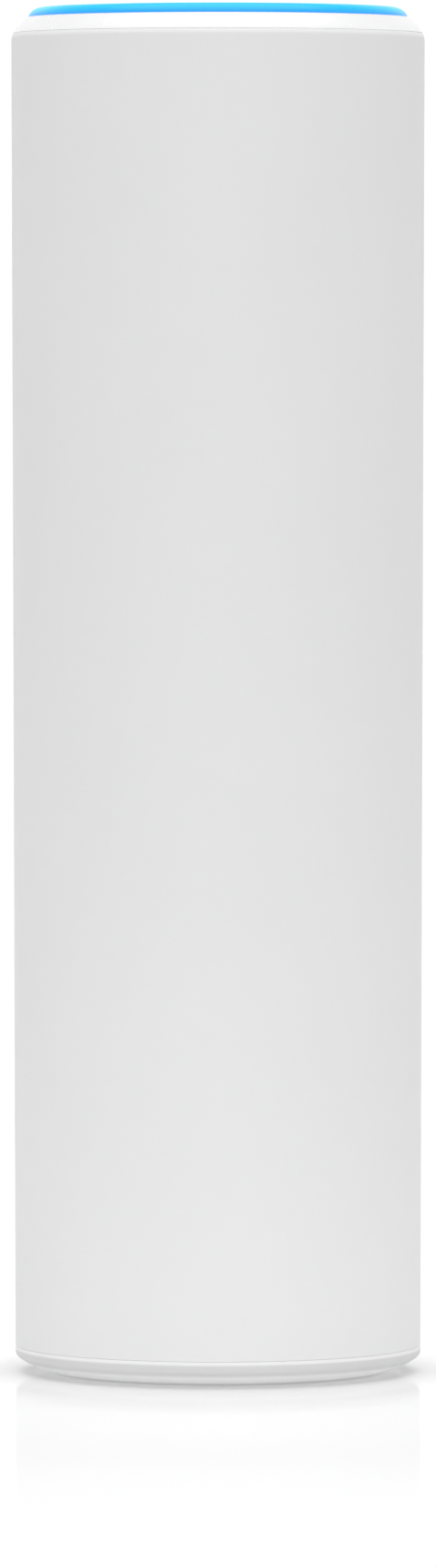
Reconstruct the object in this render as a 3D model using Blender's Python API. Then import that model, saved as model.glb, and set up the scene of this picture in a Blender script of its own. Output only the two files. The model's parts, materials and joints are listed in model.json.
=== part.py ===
"""A slim, free-standing mesh wifi node: a white drafted sleeve with a glowing ring under its crown,
lifting off a round base that hides the Ethernet socket. Sizes are in millimetres until MM turns
them into metres. Z is up, the front faces -Y, and the cable leaves at the back, towards +Y."""

import math

import bmesh
import bpy
from mathutils import Matrix, Vector

MM = 0.001
WELD = 1e-6  # metres; points this close are one
ROUND = 40  # steps round the outer shells
SMALL_ROUND = 24  # steps round the inner discs
HOLE_ROUND = 10  # steps round screws, bosses and holes
SHARP = math.radians(32)

# Driving dimensions of the outside.
HEIGHT = 160.0
TOP_RADIUS = 24.2  # of the sleeve at the crown's seam
BASE_RADIUS = 23.8  # of the sleeve at the base's seam, smaller by the moulding draft
WALL = 1.7
EDGE = 0.35  # rounding of the sleeve's two rims
SLEEVE_Z = (3.22, 156.98)
SEAM = 0.22  # visible gap at each end of the sleeve
FIT = 0.2  # clearance round a spigot or a skirt
REST = 0.1  # gap under a piece that rests on another

# The base: a shallow dish whose underside sweeps up to its side, a spigot, and a rubber ring below.
DISH_BOTTOM = 0.1
DISH_FLAT_RADIUS = 18.0
DISH_SWEEP = 9.4  # radius of the underside's curve
DISH_CORNER = 0.9  # radius where that curve meets the side
DISH_LIP = 0.3  # chamfer of the side's top edge
RIM_Z = SLEEVE_Z[0] - SEAM
BASE_FLOOR_Z = 2.0
SPIGOT_OUTER = 21.8
SPIGOT_INNER = 20.0
SPIGOT_TOP = 15.0
GRIP_GROOVE_Z = (11.9, 13.5)
GRIP_GROOVE_RADIUS = 20.95
PAD_GROOVE = (11.3, 15.0)
PAD_GROOVE_DEPTH = 0.9
WALL_SCREW_X = 6.8
WALL_SCREW_RADIUS = 2.1
WALL_SCREW_CONE = (0.9, 2.0)  # where the hole starts to widen upwards, and by how much

# The arch where the cable leaves, cut through the sleeve and the base's spigot.
ARCH_HALF_WIDTH = 4.2
ARCH_Z = (2.3, 6.2)  # floor of the channel, and the centre of its round top
ARCH_CUT_Y = (17.0, 27.0)  # from inside the spigot to outside the sleeve

# The bulkhead, with the socket and the reset button, closes the sleeve above the cable bay.
BULKHEAD_RADIUS = 21.85
BULKHEAD_Z = (31.0, 34.9)
SEAL_GROOVE_Z = (32.8, 34.2)
SEAL_GROOVE_RADIUS = 20.6
LEDGE_Z = (35.0, 37.2)
LEDGE_RADIUS = 20.6
LEDGE_SLOPE = 1.6  # height over which the ledge runs out into the wall above it
BOSS_ANGLES = (0, 180, 270)
BOSS_ORBIT = 18.2
BOSS_RADIUS = 2.3
BOSS_TOP = 44.0
BOSS_BACK = 22.9  # where a boss ends inside the sleeve's wall
BOSS_PILOT = (34.0, 8.5)  # lowest point and length
FOOT_X, FOOT_Y = 14.0, 11.4  # the inner frame's two feet
FOOT_TOP = 42.0
COUNTERBORE_RADIUS = 2.3
COUNTERBORE_TOP = 32.4
SCREW_HEAD = (1.9, 1.2)  # radius and height
SCREW_SHANK = 0.9
SCREW_HOLE = 1.1
PILOT_HOLE = 1.0

# The Ethernet socket opens downwards; the board stands behind it.
JACK_X = 8.05
JACK_Y = (-6.7, 6.9)
JACK_Z = (30.6, 47.6)
SOCKET_X = 5.95
SOCKET_Y = (-4.3, 5.4)
SOCKET_TOP = 43.6
LATCH_X = 3.1
LATCH_Y = -6.0
RESET_X, RESET_Y = 11.0, 4.8
RESET_SHAFT = 1.15

# The board and what it carries.
BOARD_X = 15.6
BOARD_Y = (7.0, 8.6)
BOARD_Z = (36.0, 115.6)
HEATSINK_Z = (56.0, 104.0)
HEATSINK_PLATE_Y = (1.6, 4.0)
HEATSINK_HALF_WIDTH = 13.8
FIN_PITCH = 4.2
FIN_THICKNESS = 1.3
FIN_REACH = 19.0  # radius that the fin tips follow
POST_X = 12.0
POST_Z = (60.0, 100.0)

# The inner frame: two rails for the board, then a spool with four fins for the antennas.
FRAME_RADIUS = 19.6
RAIL_X = (14.2, 16.6)
RAIL_Y = (5.0, 10.4)
LOWER_FLANGE_Z = (116.4, 118.4)
UPPER_FLANGE_Z = (149.6, 151.2)
HUB = (4.0, 5.6)
ANTENNA_ANGLES = (45, 135, 225, 315)
ANTENNA_RADIUS = (17.65, 18.45)
ANTENNA_Z = (120.0, 147.0)
ANTENNA_HALF_WIDTH = 4.5
PEG_Z = (124.0, 143.0)
LEAD_HOLE_ORBIT = 13.5
LEAD_HOLE_TURN = 14  # degrees from the fin to the hole beside it
LEAD_RADIUS = 0.57

# The crown, and the light under it.
CROWN_Z = SLEEVE_Z[1] + 0.18
CROWN_TOP = (22.3, 159.03)  # where the sloping shoulder meets the light ring
SHOULDER_ARC = 6.6  # radius of the shoulder's slight swell
SKIRT_OUTER = 22.25
SKIRT_Z = 150.6
LEDGE_UNDER_RING = (20.5, 157.85)
LED_BOARD_RADIUS = 20.75
LED_BOARD_Z = (151.35, 152.55)
LED_ORBIT = 18.8
LED_COUNT = 8
LIGHT_CORNER = (1.75, 1.84)  # half axes of the light ring's rounded outer corner
LIGHT_RING_INNER = 17.7
DISC_RADIUS = 17.45
LED_SCREW_X = 9.0


def material(name, colour, roughness, metallic=0.0, glow=0.0):
    made = bpy.data.materials.new(name)
    made.use_nodes = True
    shader = made.node_tree.nodes["Principled BSDF"]
    shader.inputs["Base Color"].default_value = (*colour, 1)
    shader.inputs["Roughness"].default_value = roughness
    shader.inputs["Metallic"].default_value = metallic
    shader.inputs["Emission Color"].default_value = (*colour, 1)
    shader.inputs["Emission Strength"].default_value = glow
    return made


def make_materials():
    return {
        "shell": material("shell_white", (0.80, 0.80, 0.81), 0.42),
        "crown": material("crown_white", (0.86, 0.86, 0.87), 0.3),
        "light": material("light_blue", (0.06, 0.55, 0.98), 0.35, glow=1.5),
        "frame": material("frame_grey", (0.30, 0.31, 0.33), 0.55),
        "rubber": material("rubber_grey", (0.10, 0.10, 0.11), 0.8),
        "board": material("board_green", (0.03, 0.16, 0.09), 0.45),
        "alloy": material("alloy", (0.68, 0.69, 0.71), 0.38, metallic=1.0),
        "steel": material("tinned_steel", (0.62, 0.62, 0.63), 0.3, metallic=1.0),
        "chip": material("chip_black", (0.03, 0.03, 0.035), 0.5),
        "pad": material("thermal_pad", (0.35, 0.45, 0.60), 0.9),
        "lead": material("lead_black", (0.04, 0.04, 0.04), 0.5),
        "led": material("led_cream", (0.85, 0.80, 0.55), 0.3),
        "guide": material("clear_guide", (0.80, 0.90, 0.95), 0.15),
        "white": material("reflector_white", (0.90, 0.90, 0.90), 0.6),
    }


def new_mesh(name, bm, is_round=False):
    bmesh.ops.remove_doubles(bm, verts=bm.verts, dist=WELD)
    bmesh.ops.recalc_face_normals(bm, faces=bm.faces)
    mesh = bpy.data.meshes.new(name)
    bm.to_mesh(mesh)
    bm.free()
    if is_round:
        mesh.shade_smooth()
        mesh.set_sharp_from_angle(angle=SHARP)
    return mesh


def new_object(name, mesh, finish=None):
    obj = bpy.data.objects.new(name, mesh)
    if finish:
        mesh.materials.append(finish)
    bpy.context.scene.collection.objects.link(obj)
    return obj


def turned(name, profile, finish=None, steps=ROUND):
    """A profile of (radius, height) points turned about Z. It closes on itself, unless both its ends
    are on the axis."""
    bm = bmesh.new()
    points = [bm.verts.new((radius * MM, 0, z * MM)) for radius, z in profile]
    edges = [bm.edges.new(pair) for pair in zip(points, points[1:])]
    if profile[0][0] or profile[-1][0]:
        edges.append(bm.edges.new((points[-1], points[0])))
    bmesh.ops.spin(
        bm, geom=points + edges, cent=(0, 0, 0), axis=(0, 0, 1), angle=math.tau, steps=steps, use_merge=True
    )
    return new_object(name, new_mesh(name, bm, is_round=True), finish)


def extruded(name, outline, low, high, finish=None, axis="Z"):
    """A flat outline extruded along an axis. Its points are (x, y) for Z, (x, z) for Y and (y, z) for X."""
    place = {
        "Z": lambda a, b: (a, b, low),
        "Y": lambda a, b: (a, low, b),
        "X": lambda a, b: (low, a, b),
    }[axis]
    along = {"Z": Vector((0, 0, 1)), "Y": Vector((0, 1, 0)), "X": Vector((1, 0, 0))}[axis]
    bm = bmesh.new()
    face = bm.faces.new([bm.verts.new(Vector(place(a, b)) * MM) for a, b in outline])
    grown = bmesh.ops.extrude_face_region(bm, geom=[face])
    moved = [v for v in grown["geom"] if isinstance(v, bmesh.types.BMVert)]
    bmesh.ops.translate(bm, verts=moved, vec=along * (high - low) * MM)
    return new_object(name, new_mesh(name, bm), finish)


def block(name, low, high, finish=None, bevel=0.0):
    """A box between two corners, with its edges bevelled."""
    bm = bmesh.new()
    bmesh.ops.create_cube(bm, size=1)
    low, high = Vector(low) * MM, Vector(high) * MM
    bmesh.ops.transform(
        bm, matrix=Matrix.Translation((low + high) / 2) @ Matrix.Diagonal((*(high - low), 1)), verts=bm.verts
    )
    if bevel:
        bmesh.ops.bevel(bm, geom=bm.edges, offset=bevel * MM, segments=1, affect="EDGES")
    return new_object(name, new_mesh(name, bm), finish)


def rods(name, starts, direction, length, radius, steps=HOLE_ROUND):
    """Equal round bars in one mesh, each from its start along one direction."""
    bm = bmesh.new()
    turn = Vector((0, 0, 1)).rotation_difference(Vector(direction)).to_matrix().to_4x4()
    for start in starts:
        centre = (Vector(start) + Vector(direction).normalized() * length / 2) * MM
        bmesh.ops.create_cone(
            bm,
            cap_ends=True,
            segments=steps,
            radius1=radius * MM,
            radius2=radius * MM,
            depth=length * MM,
            matrix=Matrix.Translation(centre) @ turn,
        )
    return new_object(name, new_mesh(name, bm))


def boolean(obj, operation, *others):
    """Cuts or joins with helper solids, which stay out of the render."""
    for other in others:
        other.hide_render = True
        other.display_type = "WIRE"
        modifier = obj.modifiers.new(other.name, "BOOLEAN")
        modifier.operation = operation
        modifier.object = other
    return obj


def cut(obj, *others):
    return boolean(obj, "DIFFERENCE", *others)


def join(obj, *others):
    return boolean(obj, "UNION", *others)


def turn_to(obj, degrees):
    obj.rotation_euler.z = math.radians(degrees)
    return obj


def polar(radius, degrees, z=0.0):
    angle = math.radians(degrees)
    return (radius * math.cos(angle), radius * math.sin(angle), z)


def arc(centre, radii, start, end, steps):
    """Points of an elliptical arc, from one angle to another, in degrees."""
    angles = [math.radians(start + (end - start) * i / steps) for i in range(steps + 1)]
    return [(centre[0] + radii[0] * math.cos(a), centre[1] + radii[1] * math.sin(a)) for a in angles]


def bowed(start, end, radius, steps):
    """Points from start to end along a shallow arc that swells to the right of the way it runs."""
    a, b = Vector(start), Vector(end)
    chord = b - a
    across = Vector((chord.y, -chord.x)).normalized()
    drop = math.sqrt(radius**2 - (chord.length / 2) ** 2)
    centre = (a + b) / 2 - across * drop
    found = []
    for i in range(steps + 1):
        flat = a + chord * i / steps - centre
        found.append(tuple(centre + flat.normalized() * radius))
    return found


def sleeve_radius(z):
    share = (z - SLEEVE_Z[0]) / (SLEEVE_Z[1] - SLEEVE_Z[0])
    return BASE_RADIUS + (TOP_RADIUS - BASE_RADIUS) * share


def cable_arch(name):
    """Cutter for the cable's way out at the back."""
    outline = [(-ARCH_HALF_WIDTH, ARCH_Z[0]), (ARCH_HALF_WIDTH, ARCH_Z[0])]
    outline += arc((0, ARCH_Z[1]), (ARCH_HALF_WIDTH, ARCH_HALF_WIDTH), 0, 180, 12)
    return extruded(name, outline, *ARCH_CUT_Y, axis="Y")


def dish_underside():
    """Points from the flat bottom, along the sweep and round the corner, to the base's upright side."""
    reach = BASE_RADIUS - DISH_CORNER - DISH_FLAT_RADIUS
    middle = DISH_BOTTOM + DISH_SWEEP
    tilt = math.degrees(math.asin(reach / (DISH_SWEEP - DISH_CORNER)))
    corner_z = middle - math.sqrt((DISH_SWEEP - DISH_CORNER) ** 2 - reach**2)
    sweep = arc((DISH_FLAT_RADIUS, middle), (DISH_SWEEP, DISH_SWEEP), -90, tilt - 90, 4)
    corner = arc((BASE_RADIUS - DISH_CORNER, corner_z), (DISH_CORNER, DISH_CORNER), tilt - 90, 0, 3)
    return sweep + corner[1:]


def base_cap(finish):
    groove_top = DISH_BOTTOM + PAD_GROOVE_DEPTH
    profile = [
        (0, DISH_BOTTOM),
        (PAD_GROOVE[0], DISH_BOTTOM),
        (PAD_GROOVE[0], groove_top),
        (PAD_GROOVE[1], groove_top),
        (PAD_GROOVE[1], DISH_BOTTOM),
    ]
    profile += dish_underside()
    profile += [
        (BASE_RADIUS, RIM_Z - DISH_LIP),
        (BASE_RADIUS - DISH_LIP, RIM_Z),
        (SPIGOT_OUTER, RIM_Z),
        (SPIGOT_OUTER, GRIP_GROOVE_Z[0]),
        (GRIP_GROOVE_RADIUS, GRIP_GROOVE_Z[0]),
        (GRIP_GROOVE_RADIUS, GRIP_GROOVE_Z[1]),
        (SPIGOT_OUTER, GRIP_GROOVE_Z[1]),
        (SPIGOT_OUTER, SPIGOT_TOP - 0.5),
        (SPIGOT_OUTER - 0.4, SPIGOT_TOP),
        (SPIGOT_INNER, SPIGOT_TOP),
        (SPIGOT_INNER, BASE_FLOOR_Z),
        (0, BASE_FLOOR_Z),
    ]
    cap = turned("base_cap", profile, finish)
    cone, spread = WALL_SCREW_CONE
    hole = [
        (0, -1.0),
        (WALL_SCREW_RADIUS, -1.0),
        (WALL_SCREW_RADIUS, cone),
        (WALL_SCREW_RADIUS + spread, cone + spread),
        (0, cone + spread),
    ]
    holes = [turned(f"wall_screw_cut_{side}", hole, steps=HOLE_ROUND) for side in ("left", "right")]
    for cutter, side in zip(holes, (-1, 1)):
        cutter.location.x = side * WALL_SCREW_X * MM
    return cut(cap, *holes, cable_arch("base_arch_cut"))


def foot_pad(finish):
    inner, outer = PAD_GROOVE[0] + FIT, PAD_GROOVE[1] - FIT
    top = DISH_BOTTOM + PAD_GROOVE_DEPTH - REST
    profile = [(inner + 0.2, 0), (outer - 0.2, 0), (outer, 0.2), (outer, top), (inner, top), (inner, 0.2)]
    return turned("foot_pad", profile, finish)


def sleeve(finish):
    low, high = SLEEVE_Z
    inner_low, inner_high = BASE_RADIUS - WALL, TOP_RADIUS - WALL
    above_ledge = LEDGE_Z[1] + LEDGE_SLOPE
    profile = [
        *arc((BASE_RADIUS - EDGE, low + EDGE), (EDGE, EDGE), -90, 0, 2),
        *arc((TOP_RADIUS - EDGE, high - EDGE), (EDGE, EDGE), 0, 90, 2),
        (inner_high, high),
        (sleeve_radius(above_ledge) - WALL, above_ledge),
        (LEDGE_RADIUS, LEDGE_Z[1]),
        (LEDGE_RADIUS, LEDGE_Z[0]),
        (sleeve_radius(LEDGE_Z[0]) - WALL, LEDGE_Z[0]),
        (inner_low, low),
    ]
    tube = turned("sleeve", profile, finish)
    outline = arc((BOSS_ORBIT, 0), (BOSS_RADIUS, BOSS_RADIUS), 90, 270, 6)
    outline += [(BOSS_BACK, -BOSS_RADIUS), (BOSS_BACK, BOSS_RADIUS)]
    bosses = []
    for angle in BOSS_ANGLES:
        boss = extruded(f"boss_{angle}", outline, LEDGE_Z[0] + 0.4, BOSS_TOP)
        bosses.append(turn_to(boss, angle))
    join(tube, *bosses)
    starts = [polar(BOSS_ORBIT, a, BOSS_PILOT[0]) for a in BOSS_ANGLES]
    pilots = rods("boss_pilots", starts, (0, 0, 1), BOSS_PILOT[1], PILOT_HOLE)
    return cut(tube, pilots, cable_arch("sleeve_arch_cut"))


def screw(name, length, finish):
    """A pan-head screw along +Z, with the underside of its head at its origin."""
    radius, height = SCREW_HEAD
    profile = [
        (0, -height),
        (radius - 0.4, -height),
        (radius, -height + 0.4),
        (radius, 0),
        (SCREW_SHANK, 0),
        (SCREW_SHANK, length),
        (0, length),
    ]
    return turned(name, profile, finish, steps=HOLE_ROUND)


def bulkhead(finish):
    low, high = BULKHEAD_Z
    profile = [
        (0, low),
        (BULKHEAD_RADIUS - 0.5, low),
        (BULKHEAD_RADIUS, low + 0.5),
        (BULKHEAD_RADIUS, SEAL_GROOVE_Z[0]),
        (SEAL_GROOVE_RADIUS, SEAL_GROOVE_Z[0]),
        (SEAL_GROOVE_RADIUS, SEAL_GROOVE_Z[1]),
        (BULKHEAD_RADIUS, SEAL_GROOVE_Z[1]),
        (BULKHEAD_RADIUS, high),
        (0, high),
    ]
    plate = turned("bulkhead", profile, finish)
    window = block(
        "jack_window_cut",
        (-JACK_X - FIT, JACK_Y[0] - FIT, low - 2),
        (JACK_X + FIT, JACK_Y[1] + FIT, high + 2),
    )
    places = [polar(BOSS_ORBIT, a, low - 1) for a in BOSS_ANGLES]
    places += [(side * FOOT_X, FOOT_Y, low - 1) for side in (-1, 1)]
    bores = rods("bulkhead_counterbores", places, (0, 0, 1), COUNTERBORE_TOP - low + 1, COUNTERBORE_RADIUS)
    holes = rods("bulkhead_holes", places, (0, 0, 1), high - low + 2, SCREW_HOLE)
    reset = rods("reset_hole", [(RESET_X, RESET_Y, low - 1)], (0, 0, 1), high - low + 2, RESET_SHAFT + FIT)
    return cut(plate, window, bores, holes, reset)


def ring_seal(name, orbit, z, thickness, finish):
    """An O-ring round Z."""
    section = arc((orbit, z), (thickness / 2, thickness / 2), 0, 288, 4)
    return turned(name, section, finish)


def screws_under_bulkhead(finish):
    for number, angle in enumerate(BOSS_ANGLES, 1):
        made = screw(f"bulkhead_screw_{number}", 9.0, finish)
        made.location = Vector(polar(BOSS_ORBIT, angle, COUNTERBORE_TOP - REST / 2)) * MM
    for number, side in enumerate((-1, 1), 1):
        made = screw(f"frame_screw_{number}", 7.0, finish)
        made.location = Vector((side * FOOT_X, FOOT_Y, COUNTERBORE_TOP - REST / 2)) * MM


def ethernet_jack(steel, plastic):
    shell = block(
        "ethernet_jack", (-JACK_X, JACK_Y[0], JACK_Z[0]), (JACK_X, JACK_Y[1], JACK_Z[1]), steel, bevel=0.3
    )
    low = JACK_Z[0] - 2
    main = block("socket_cut", (-SOCKET_X, SOCKET_Y[0], low), (SOCKET_X, SOCKET_Y[1], SOCKET_TOP))
    latch = block("latch_cut", (-LATCH_X, LATCH_Y, low), (LATCH_X, SOCKET_Y[0] + 1, SOCKET_TOP - 2))
    cut(shell, main, latch)
    contacts(plastic)


def contacts(finish):
    """The insert on the board's side of the socket, with one rib for each of the eight contacts."""
    count, pitch, rib = 8, 1.27, 0.5
    back, ribs_y, face_y = SOCKET_Y[1] - REST, 3.1, 2.55
    half = SOCKET_X - 0.25
    outline = [(-half, back), (-half, ribs_y)]
    for number in range(count):
        x = (number - (count - 1) / 2) * pitch
        outline += [
            (x - rib / 2, ribs_y),
            (x - rib / 2, face_y),
            (x + rib / 2, face_y),
            (x + rib / 2, ribs_y),
        ]
    outline += [(half, ribs_y), (half, back)]
    extruded("jack_contacts", outline, JACK_Z[0] + 1.2, SOCKET_TOP - 0.3, finish)


def reset_parts(button_finish, switch_finish):
    """The recessed plunger, the switch it presses, and the switch's own stem."""
    low, high = BULKHEAD_Z
    collar_low, collar_top = high + 0.25, high + 1.05
    profile = [
        (0, low + 0.7),
        (RESET_SHAFT - 0.2, low + 0.7),
        (RESET_SHAFT, low + 0.9),
        (RESET_SHAFT, collar_low),
        (RESET_SHAFT + 0.75, collar_low),
        (RESET_SHAFT + 0.75, collar_top),
        (0, collar_top),
    ]
    button = turned("reset_button", profile, button_finish, steps=HOLE_ROUND)
    stem_low = collar_top + REST
    stem = turned(
        "reset_stem", [(0, stem_low), (0.75, stem_low), (0.75, 38.9), (0, 38.9)], button_finish, steps=HOLE_ROUND
    )
    for piece in (button, stem):
        piece.location = Vector((RESET_X, RESET_Y, 0)) * MM
    body = block(
        "reset_switch",
        (RESET_X - 2.5, 3.1, 36.9),
        (RESET_X + 2.5, BOARD_Y[0] - REST, 40.9),
        switch_finish,
        bevel=0.25,
    )
    cut(body, rods("stem_hole", [(RESET_X, RESET_Y, 35)], (0, 0, 1), 5.2, 0.95))


def main_board(finish):
    board = block("main_board", (-BOARD_X, BOARD_Y[0], BOARD_Z[0]), (BOARD_X, BOARD_Y[1], BOARD_Z[1]), finish)
    places = [(side * POST_X, BOARD_Y[0] - 1, z) for side in (-1, 1) for z in POST_Z]
    return cut(board, rods("board_holes", places, (0, 1, 0), 4.0, SCREW_HOLE))


def heatsink(finish, screw_finish):
    """An extruded comb whose fin tips follow the sleeve, with four posts that reach the board."""
    back, front = HEATSINK_PLATE_Y[1], HEATSINK_PLATE_Y[0]
    outline = [(HEATSINK_HALF_WIDTH, front), (HEATSINK_HALF_WIDTH, back)]
    outline += [(-HEATSINK_HALF_WIDTH, back), (-HEATSINK_HALF_WIDTH, front)]
    for number in range(-3, 4):
        left = number * FIN_PITCH - FIN_THICKNESS / 2
        right = left + FIN_THICKNESS
        tip = -math.sqrt(FIN_REACH**2 - max(abs(left), abs(right)) ** 2)
        outline += [(left, front), (left, tip), (right, tip), (right, front)]
    comb = extruded("heatsink", outline, *HEATSINK_Z, finish)
    places = [(side * POST_X, back - 0.8, z) for side in (-1, 1) for z in POST_Z]
    posts = rods("heatsink_posts", places, (0, 1, 0), BOARD_Y[0] - REST - back + 0.8, 2.0)
    pilots = rods(
        "heatsink_pilots", [(x, BOARD_Y[0] + 1, z) for x, _, z in places], (0, -1, 0), 5.0, PILOT_HOLE
    )
    cut(join(comb, posts), pilots)
    for number, (x, _, z) in enumerate(places, 1):
        made = screw(f"heatsink_screw_{number}", 5.0, screw_finish)
        made.rotation_euler.x = math.pi / 2
        made.location = Vector((x, BOARD_Y[1] + REST, z)) * MM


def board_parts(mat):
    """Chips and cans on the front under the heatsink, and the power parts on the back."""
    front, back = BOARD_Y[0] - REST, BOARD_Y[1] + REST
    plate = HEATSINK_PLATE_Y[1] + REST
    block("cpu_chip", (-7, 5.6, 64), (7, front, 78), mat["chip"], bevel=0.2)
    block("cpu_thermal_pad", (-6.5, plate, 64.5), (6.5, 5.5, 77.5), mat["pad"])
    block("memory_chip", (8.6, 5.9, 66), (13.6, front, 76), mat["chip"], bevel=0.15)
    block("radio_shield_high", (-13.4, 4.7, 81), (-0.5, front, 96.5), mat["steel"], bevel=0.3)
    block("radio_shield_low", (0.5, 4.7, 81), (13.4, front, 96.5), mat["steel"], bevel=0.3)
    block("radio_thermal_pad", (-12.6, plate, 82), (12.6, 4.6, 95.5), mat["pad"])
    block("lan_transformer", (-9, back, 52), (9, 14.2, 64), mat["chip"], bevel=0.4)
    block("poe_transformer", (-7, back, 69), (7, 17.4, 83), mat["chip"], bevel=0.8)
    block("power_inductor", (-5, back, 102), (5, 12.8, 112), mat["chip"], bevel=0.6)
    for number, side in enumerate((-1, 1), 1):
        profile = [(0, 0), (4.0, 0), (4.0, 6.6), (3.8, 6.9), (3.8, 7.2), (4.0, 7.5), (3.7, 8.0), (0, 8.0)]
        can = turned(f"bulk_capacitor_{number}", profile, mat["alloy"], steps=20)
        can.rotation_euler.x = -math.pi / 2
        can.location = Vector((side * 6.5, back, 93)) * MM


def rail_outline(side):
    """A C-shaped rail, open towards the board's edge."""
    inner, outer = RAIL_X
    groove_x = BOARD_X + FIT
    groove_y = (BOARD_Y[0] - 0.15, BOARD_Y[1] + 0.15)
    outline = [
        (inner, RAIL_Y[0]),
        (outer, RAIL_Y[0]),
        (outer, RAIL_Y[1]),
        (inner, RAIL_Y[1]),
        (inner, groove_y[1]),
        (groove_x, groove_y[1]),
        (groove_x, groove_y[0]),
        (inner, groove_y[0]),
    ]
    return [(side * x, y) for x, y in outline]


def inner_frame(finish):
    low, high = LOWER_FLANGE_Z[0], UPPER_FLANGE_Z[1]
    spool = [
        (0, low),
        (FRAME_RADIUS, low),
        (FRAME_RADIUS, LOWER_FLANGE_Z[1]),
        (HUB[1], LOWER_FLANGE_Z[1]),
        (HUB[1], UPPER_FLANGE_Z[0]),
        (FRAME_RADIUS, UPPER_FLANGE_Z[0]),
        (FRAME_RADIUS, high),
        (0, high),
    ]
    frame = turned("inner_frame", spool, finish, steps=SMALL_ROUND)
    rails = [
        extruded(f"rail_{side}", rail_outline(side), LEDGE_Z[0] + REST, low + 1) for side in (-1, 1)
    ]
    feet = rods(
        "frame_feet",
        [(side * FOOT_X, FOOT_Y, LEDGE_Z[0] + REST + 0.3) for side in (-1, 1)],
        (0, 0, 1),
        FOOT_TOP - LEDGE_Z[0],
        BOSS_RADIUS,
    )
    reach = ANTENNA_RADIUS[0] - 0.15
    fins = []
    for angle in ANTENNA_ANGLES[:2]:
        fin = block(
            f"antenna_fin_{angle}",
            (-reach, -0.8, LOWER_FLANGE_Z[1] - 1),
            (reach, 0.8, UPPER_FLANGE_Z[0] + 0.8),
        )
        pegs = rods(f"antenna_pegs_{angle}", [(-19.1, 0, z) for z in PEG_Z], (1, 0, 0), 38.2, 0.8, steps=8)
        fins += [turn_to(fin, angle), turn_to(pegs, angle)]
    join(frame, *rails, feet, *fins)
    bore = rods("hub_bore", [(0, 0, low - 1)], (0, 0, 1), high - low + 2, HUB[0], steps=SMALL_ROUND)
    foot_pilots = rods(
        "foot_pilots", [(side * FOOT_X, FOOT_Y, 34) for side in (-1, 1)], (0, 0, 1), 7.0, PILOT_HOLE
    )
    lead_holes = rods(
        "lead_holes",
        [polar(LEAD_HOLE_ORBIT, lead_angle(a), low - 1) for a in ANTENNA_ANGLES],
        (0, 0, 1),
        4.0,
        1.3,
    )
    head_holes = rods(
        "head_holes", [(side * LED_SCREW_X, 0, UPPER_FLANGE_Z[0] - 1) for side in (-1, 1)], (0, 0, 1), 4.0, 2.4
    )
    return cut(frame, bore, foot_pilots, lead_holes, head_holes)


def lead_angle(antenna_angle):
    """Angle of the lead's hole: beside the fin, on its side nearer the board's middle."""
    back = antenna_angle < 180
    right = antenna_angle in (45, 315)
    return antenna_angle + LEAD_HOLE_TURN * (1 if back == right else -1)


def antennas(board_finish, lead_finish):
    for number, angle in enumerate(ANTENNA_ANGLES, 1):
        strip = block(
            f"antenna_{number}",
            (ANTENNA_RADIUS[0], -ANTENNA_HALF_WIDTH, ANTENNA_Z[0]),
            (ANTENNA_RADIUS[1], ANTENNA_HALF_WIDTH, ANTENNA_Z[1]),
            board_finish,
        )
        holes = rods(
            f"antenna_holes_{angle}", [(16, 0, z) for z in PEG_Z], (1, 0, 0), 4.0, 1.05, steps=8
        )
        cut(turn_to(strip, angle), turn_to(holes, angle))
        antenna_lead(number, angle, lead_finish)


def antenna_lead(number, angle, finish):
    """Thin coax from the board's top edge, through the flange, to the foot of its antenna."""
    side = 1 if angle in (45, 315) else -1
    turn = lead_angle(angle)
    hole = polar(LEAD_HOLE_ORBIT, turn)
    end = polar(ANTENNA_RADIUS[0] - 1.1, angle + (turn - angle) * 0.55, ANTENNA_Z[0] + 2.6)
    if angle < 180:
        start = [(side * 8.5, 9.7, 108.6), (side * 8.7, 10.2, 111.0)]
    else:
        start = [(side * 8.5, 5.9, 110.0), (side * 8.7, 3.4, 111.2), (side * 9.0, -1.0, 112.0)]
    route = start + [
        (hole[0] * 0.97, hole[1] * 0.97, 114.4),
        (hole[0], hole[1], 117.4),
        (hole[0] * 1.05, hole[1] * 1.05, 120.2),
        end,
    ]
    data = bpy.data.curves.new(f"antenna_lead_{number}", "CURVE")
    data.dimensions = "3D"
    data.bevel_depth = LEAD_RADIUS * MM
    data.bevel_resolution = 2
    data.use_fill_caps = True
    data.materials.append(finish)
    points = smooth(route, 3)
    spline = data.splines.new("POLY")
    spline.points.add(len(points) - 1)
    for slot, point in zip(spline.points, points):
        slot.co = (*(point * MM), 1)
    lead = bpy.data.objects.new(data.name, data)
    bpy.context.scene.collection.objects.link(lead)


def smooth(route, steps):
    """Points on a smooth curve through the route's own points (a Catmull-Rom spline)."""
    ends = [Vector(route[0]) * 2 - Vector(route[1]), Vector(route[-1]) * 2 - Vector(route[-2])]
    knots = [ends[0]] + [Vector(p) for p in route] + [ends[1]]
    found = []
    for a, b, c, d in zip(knots, knots[1:], knots[2:], knots[3:]):
        for i in range(steps):
            t = i / steps
            found.append(
                (b * 2 + (c - a) * t + (a * 2 - b * 5 + c * 4 - d) * t**2 + (b * 3 - a - c * 3 + d) * t**3) / 2
            )
    return found + [Vector(route[-1])]


def led_ribbon(finish):
    """A flat ribbon from the light's board, down the hub, to the top of the main board."""
    top, bend_top, bend_low, bottom = 151.15, 119.5, 111.5, 109.4
    reach, half = BOARD_Y[0] - 0.55, 0.15
    line = [(0.0, top)]
    for i in range(9):
        t = i / 8
        line.append((reach * t * t * (3 - 2 * t), bend_top + (bend_low - bend_top) * t))
    line.append((reach, bottom))
    outline = [(y - half, z) for y, z in line] + [(y + half, z) for y, z in reversed(line)]
    extruded("led_ribbon", outline, -2.5, 2.5, finish, axis="X")


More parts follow.
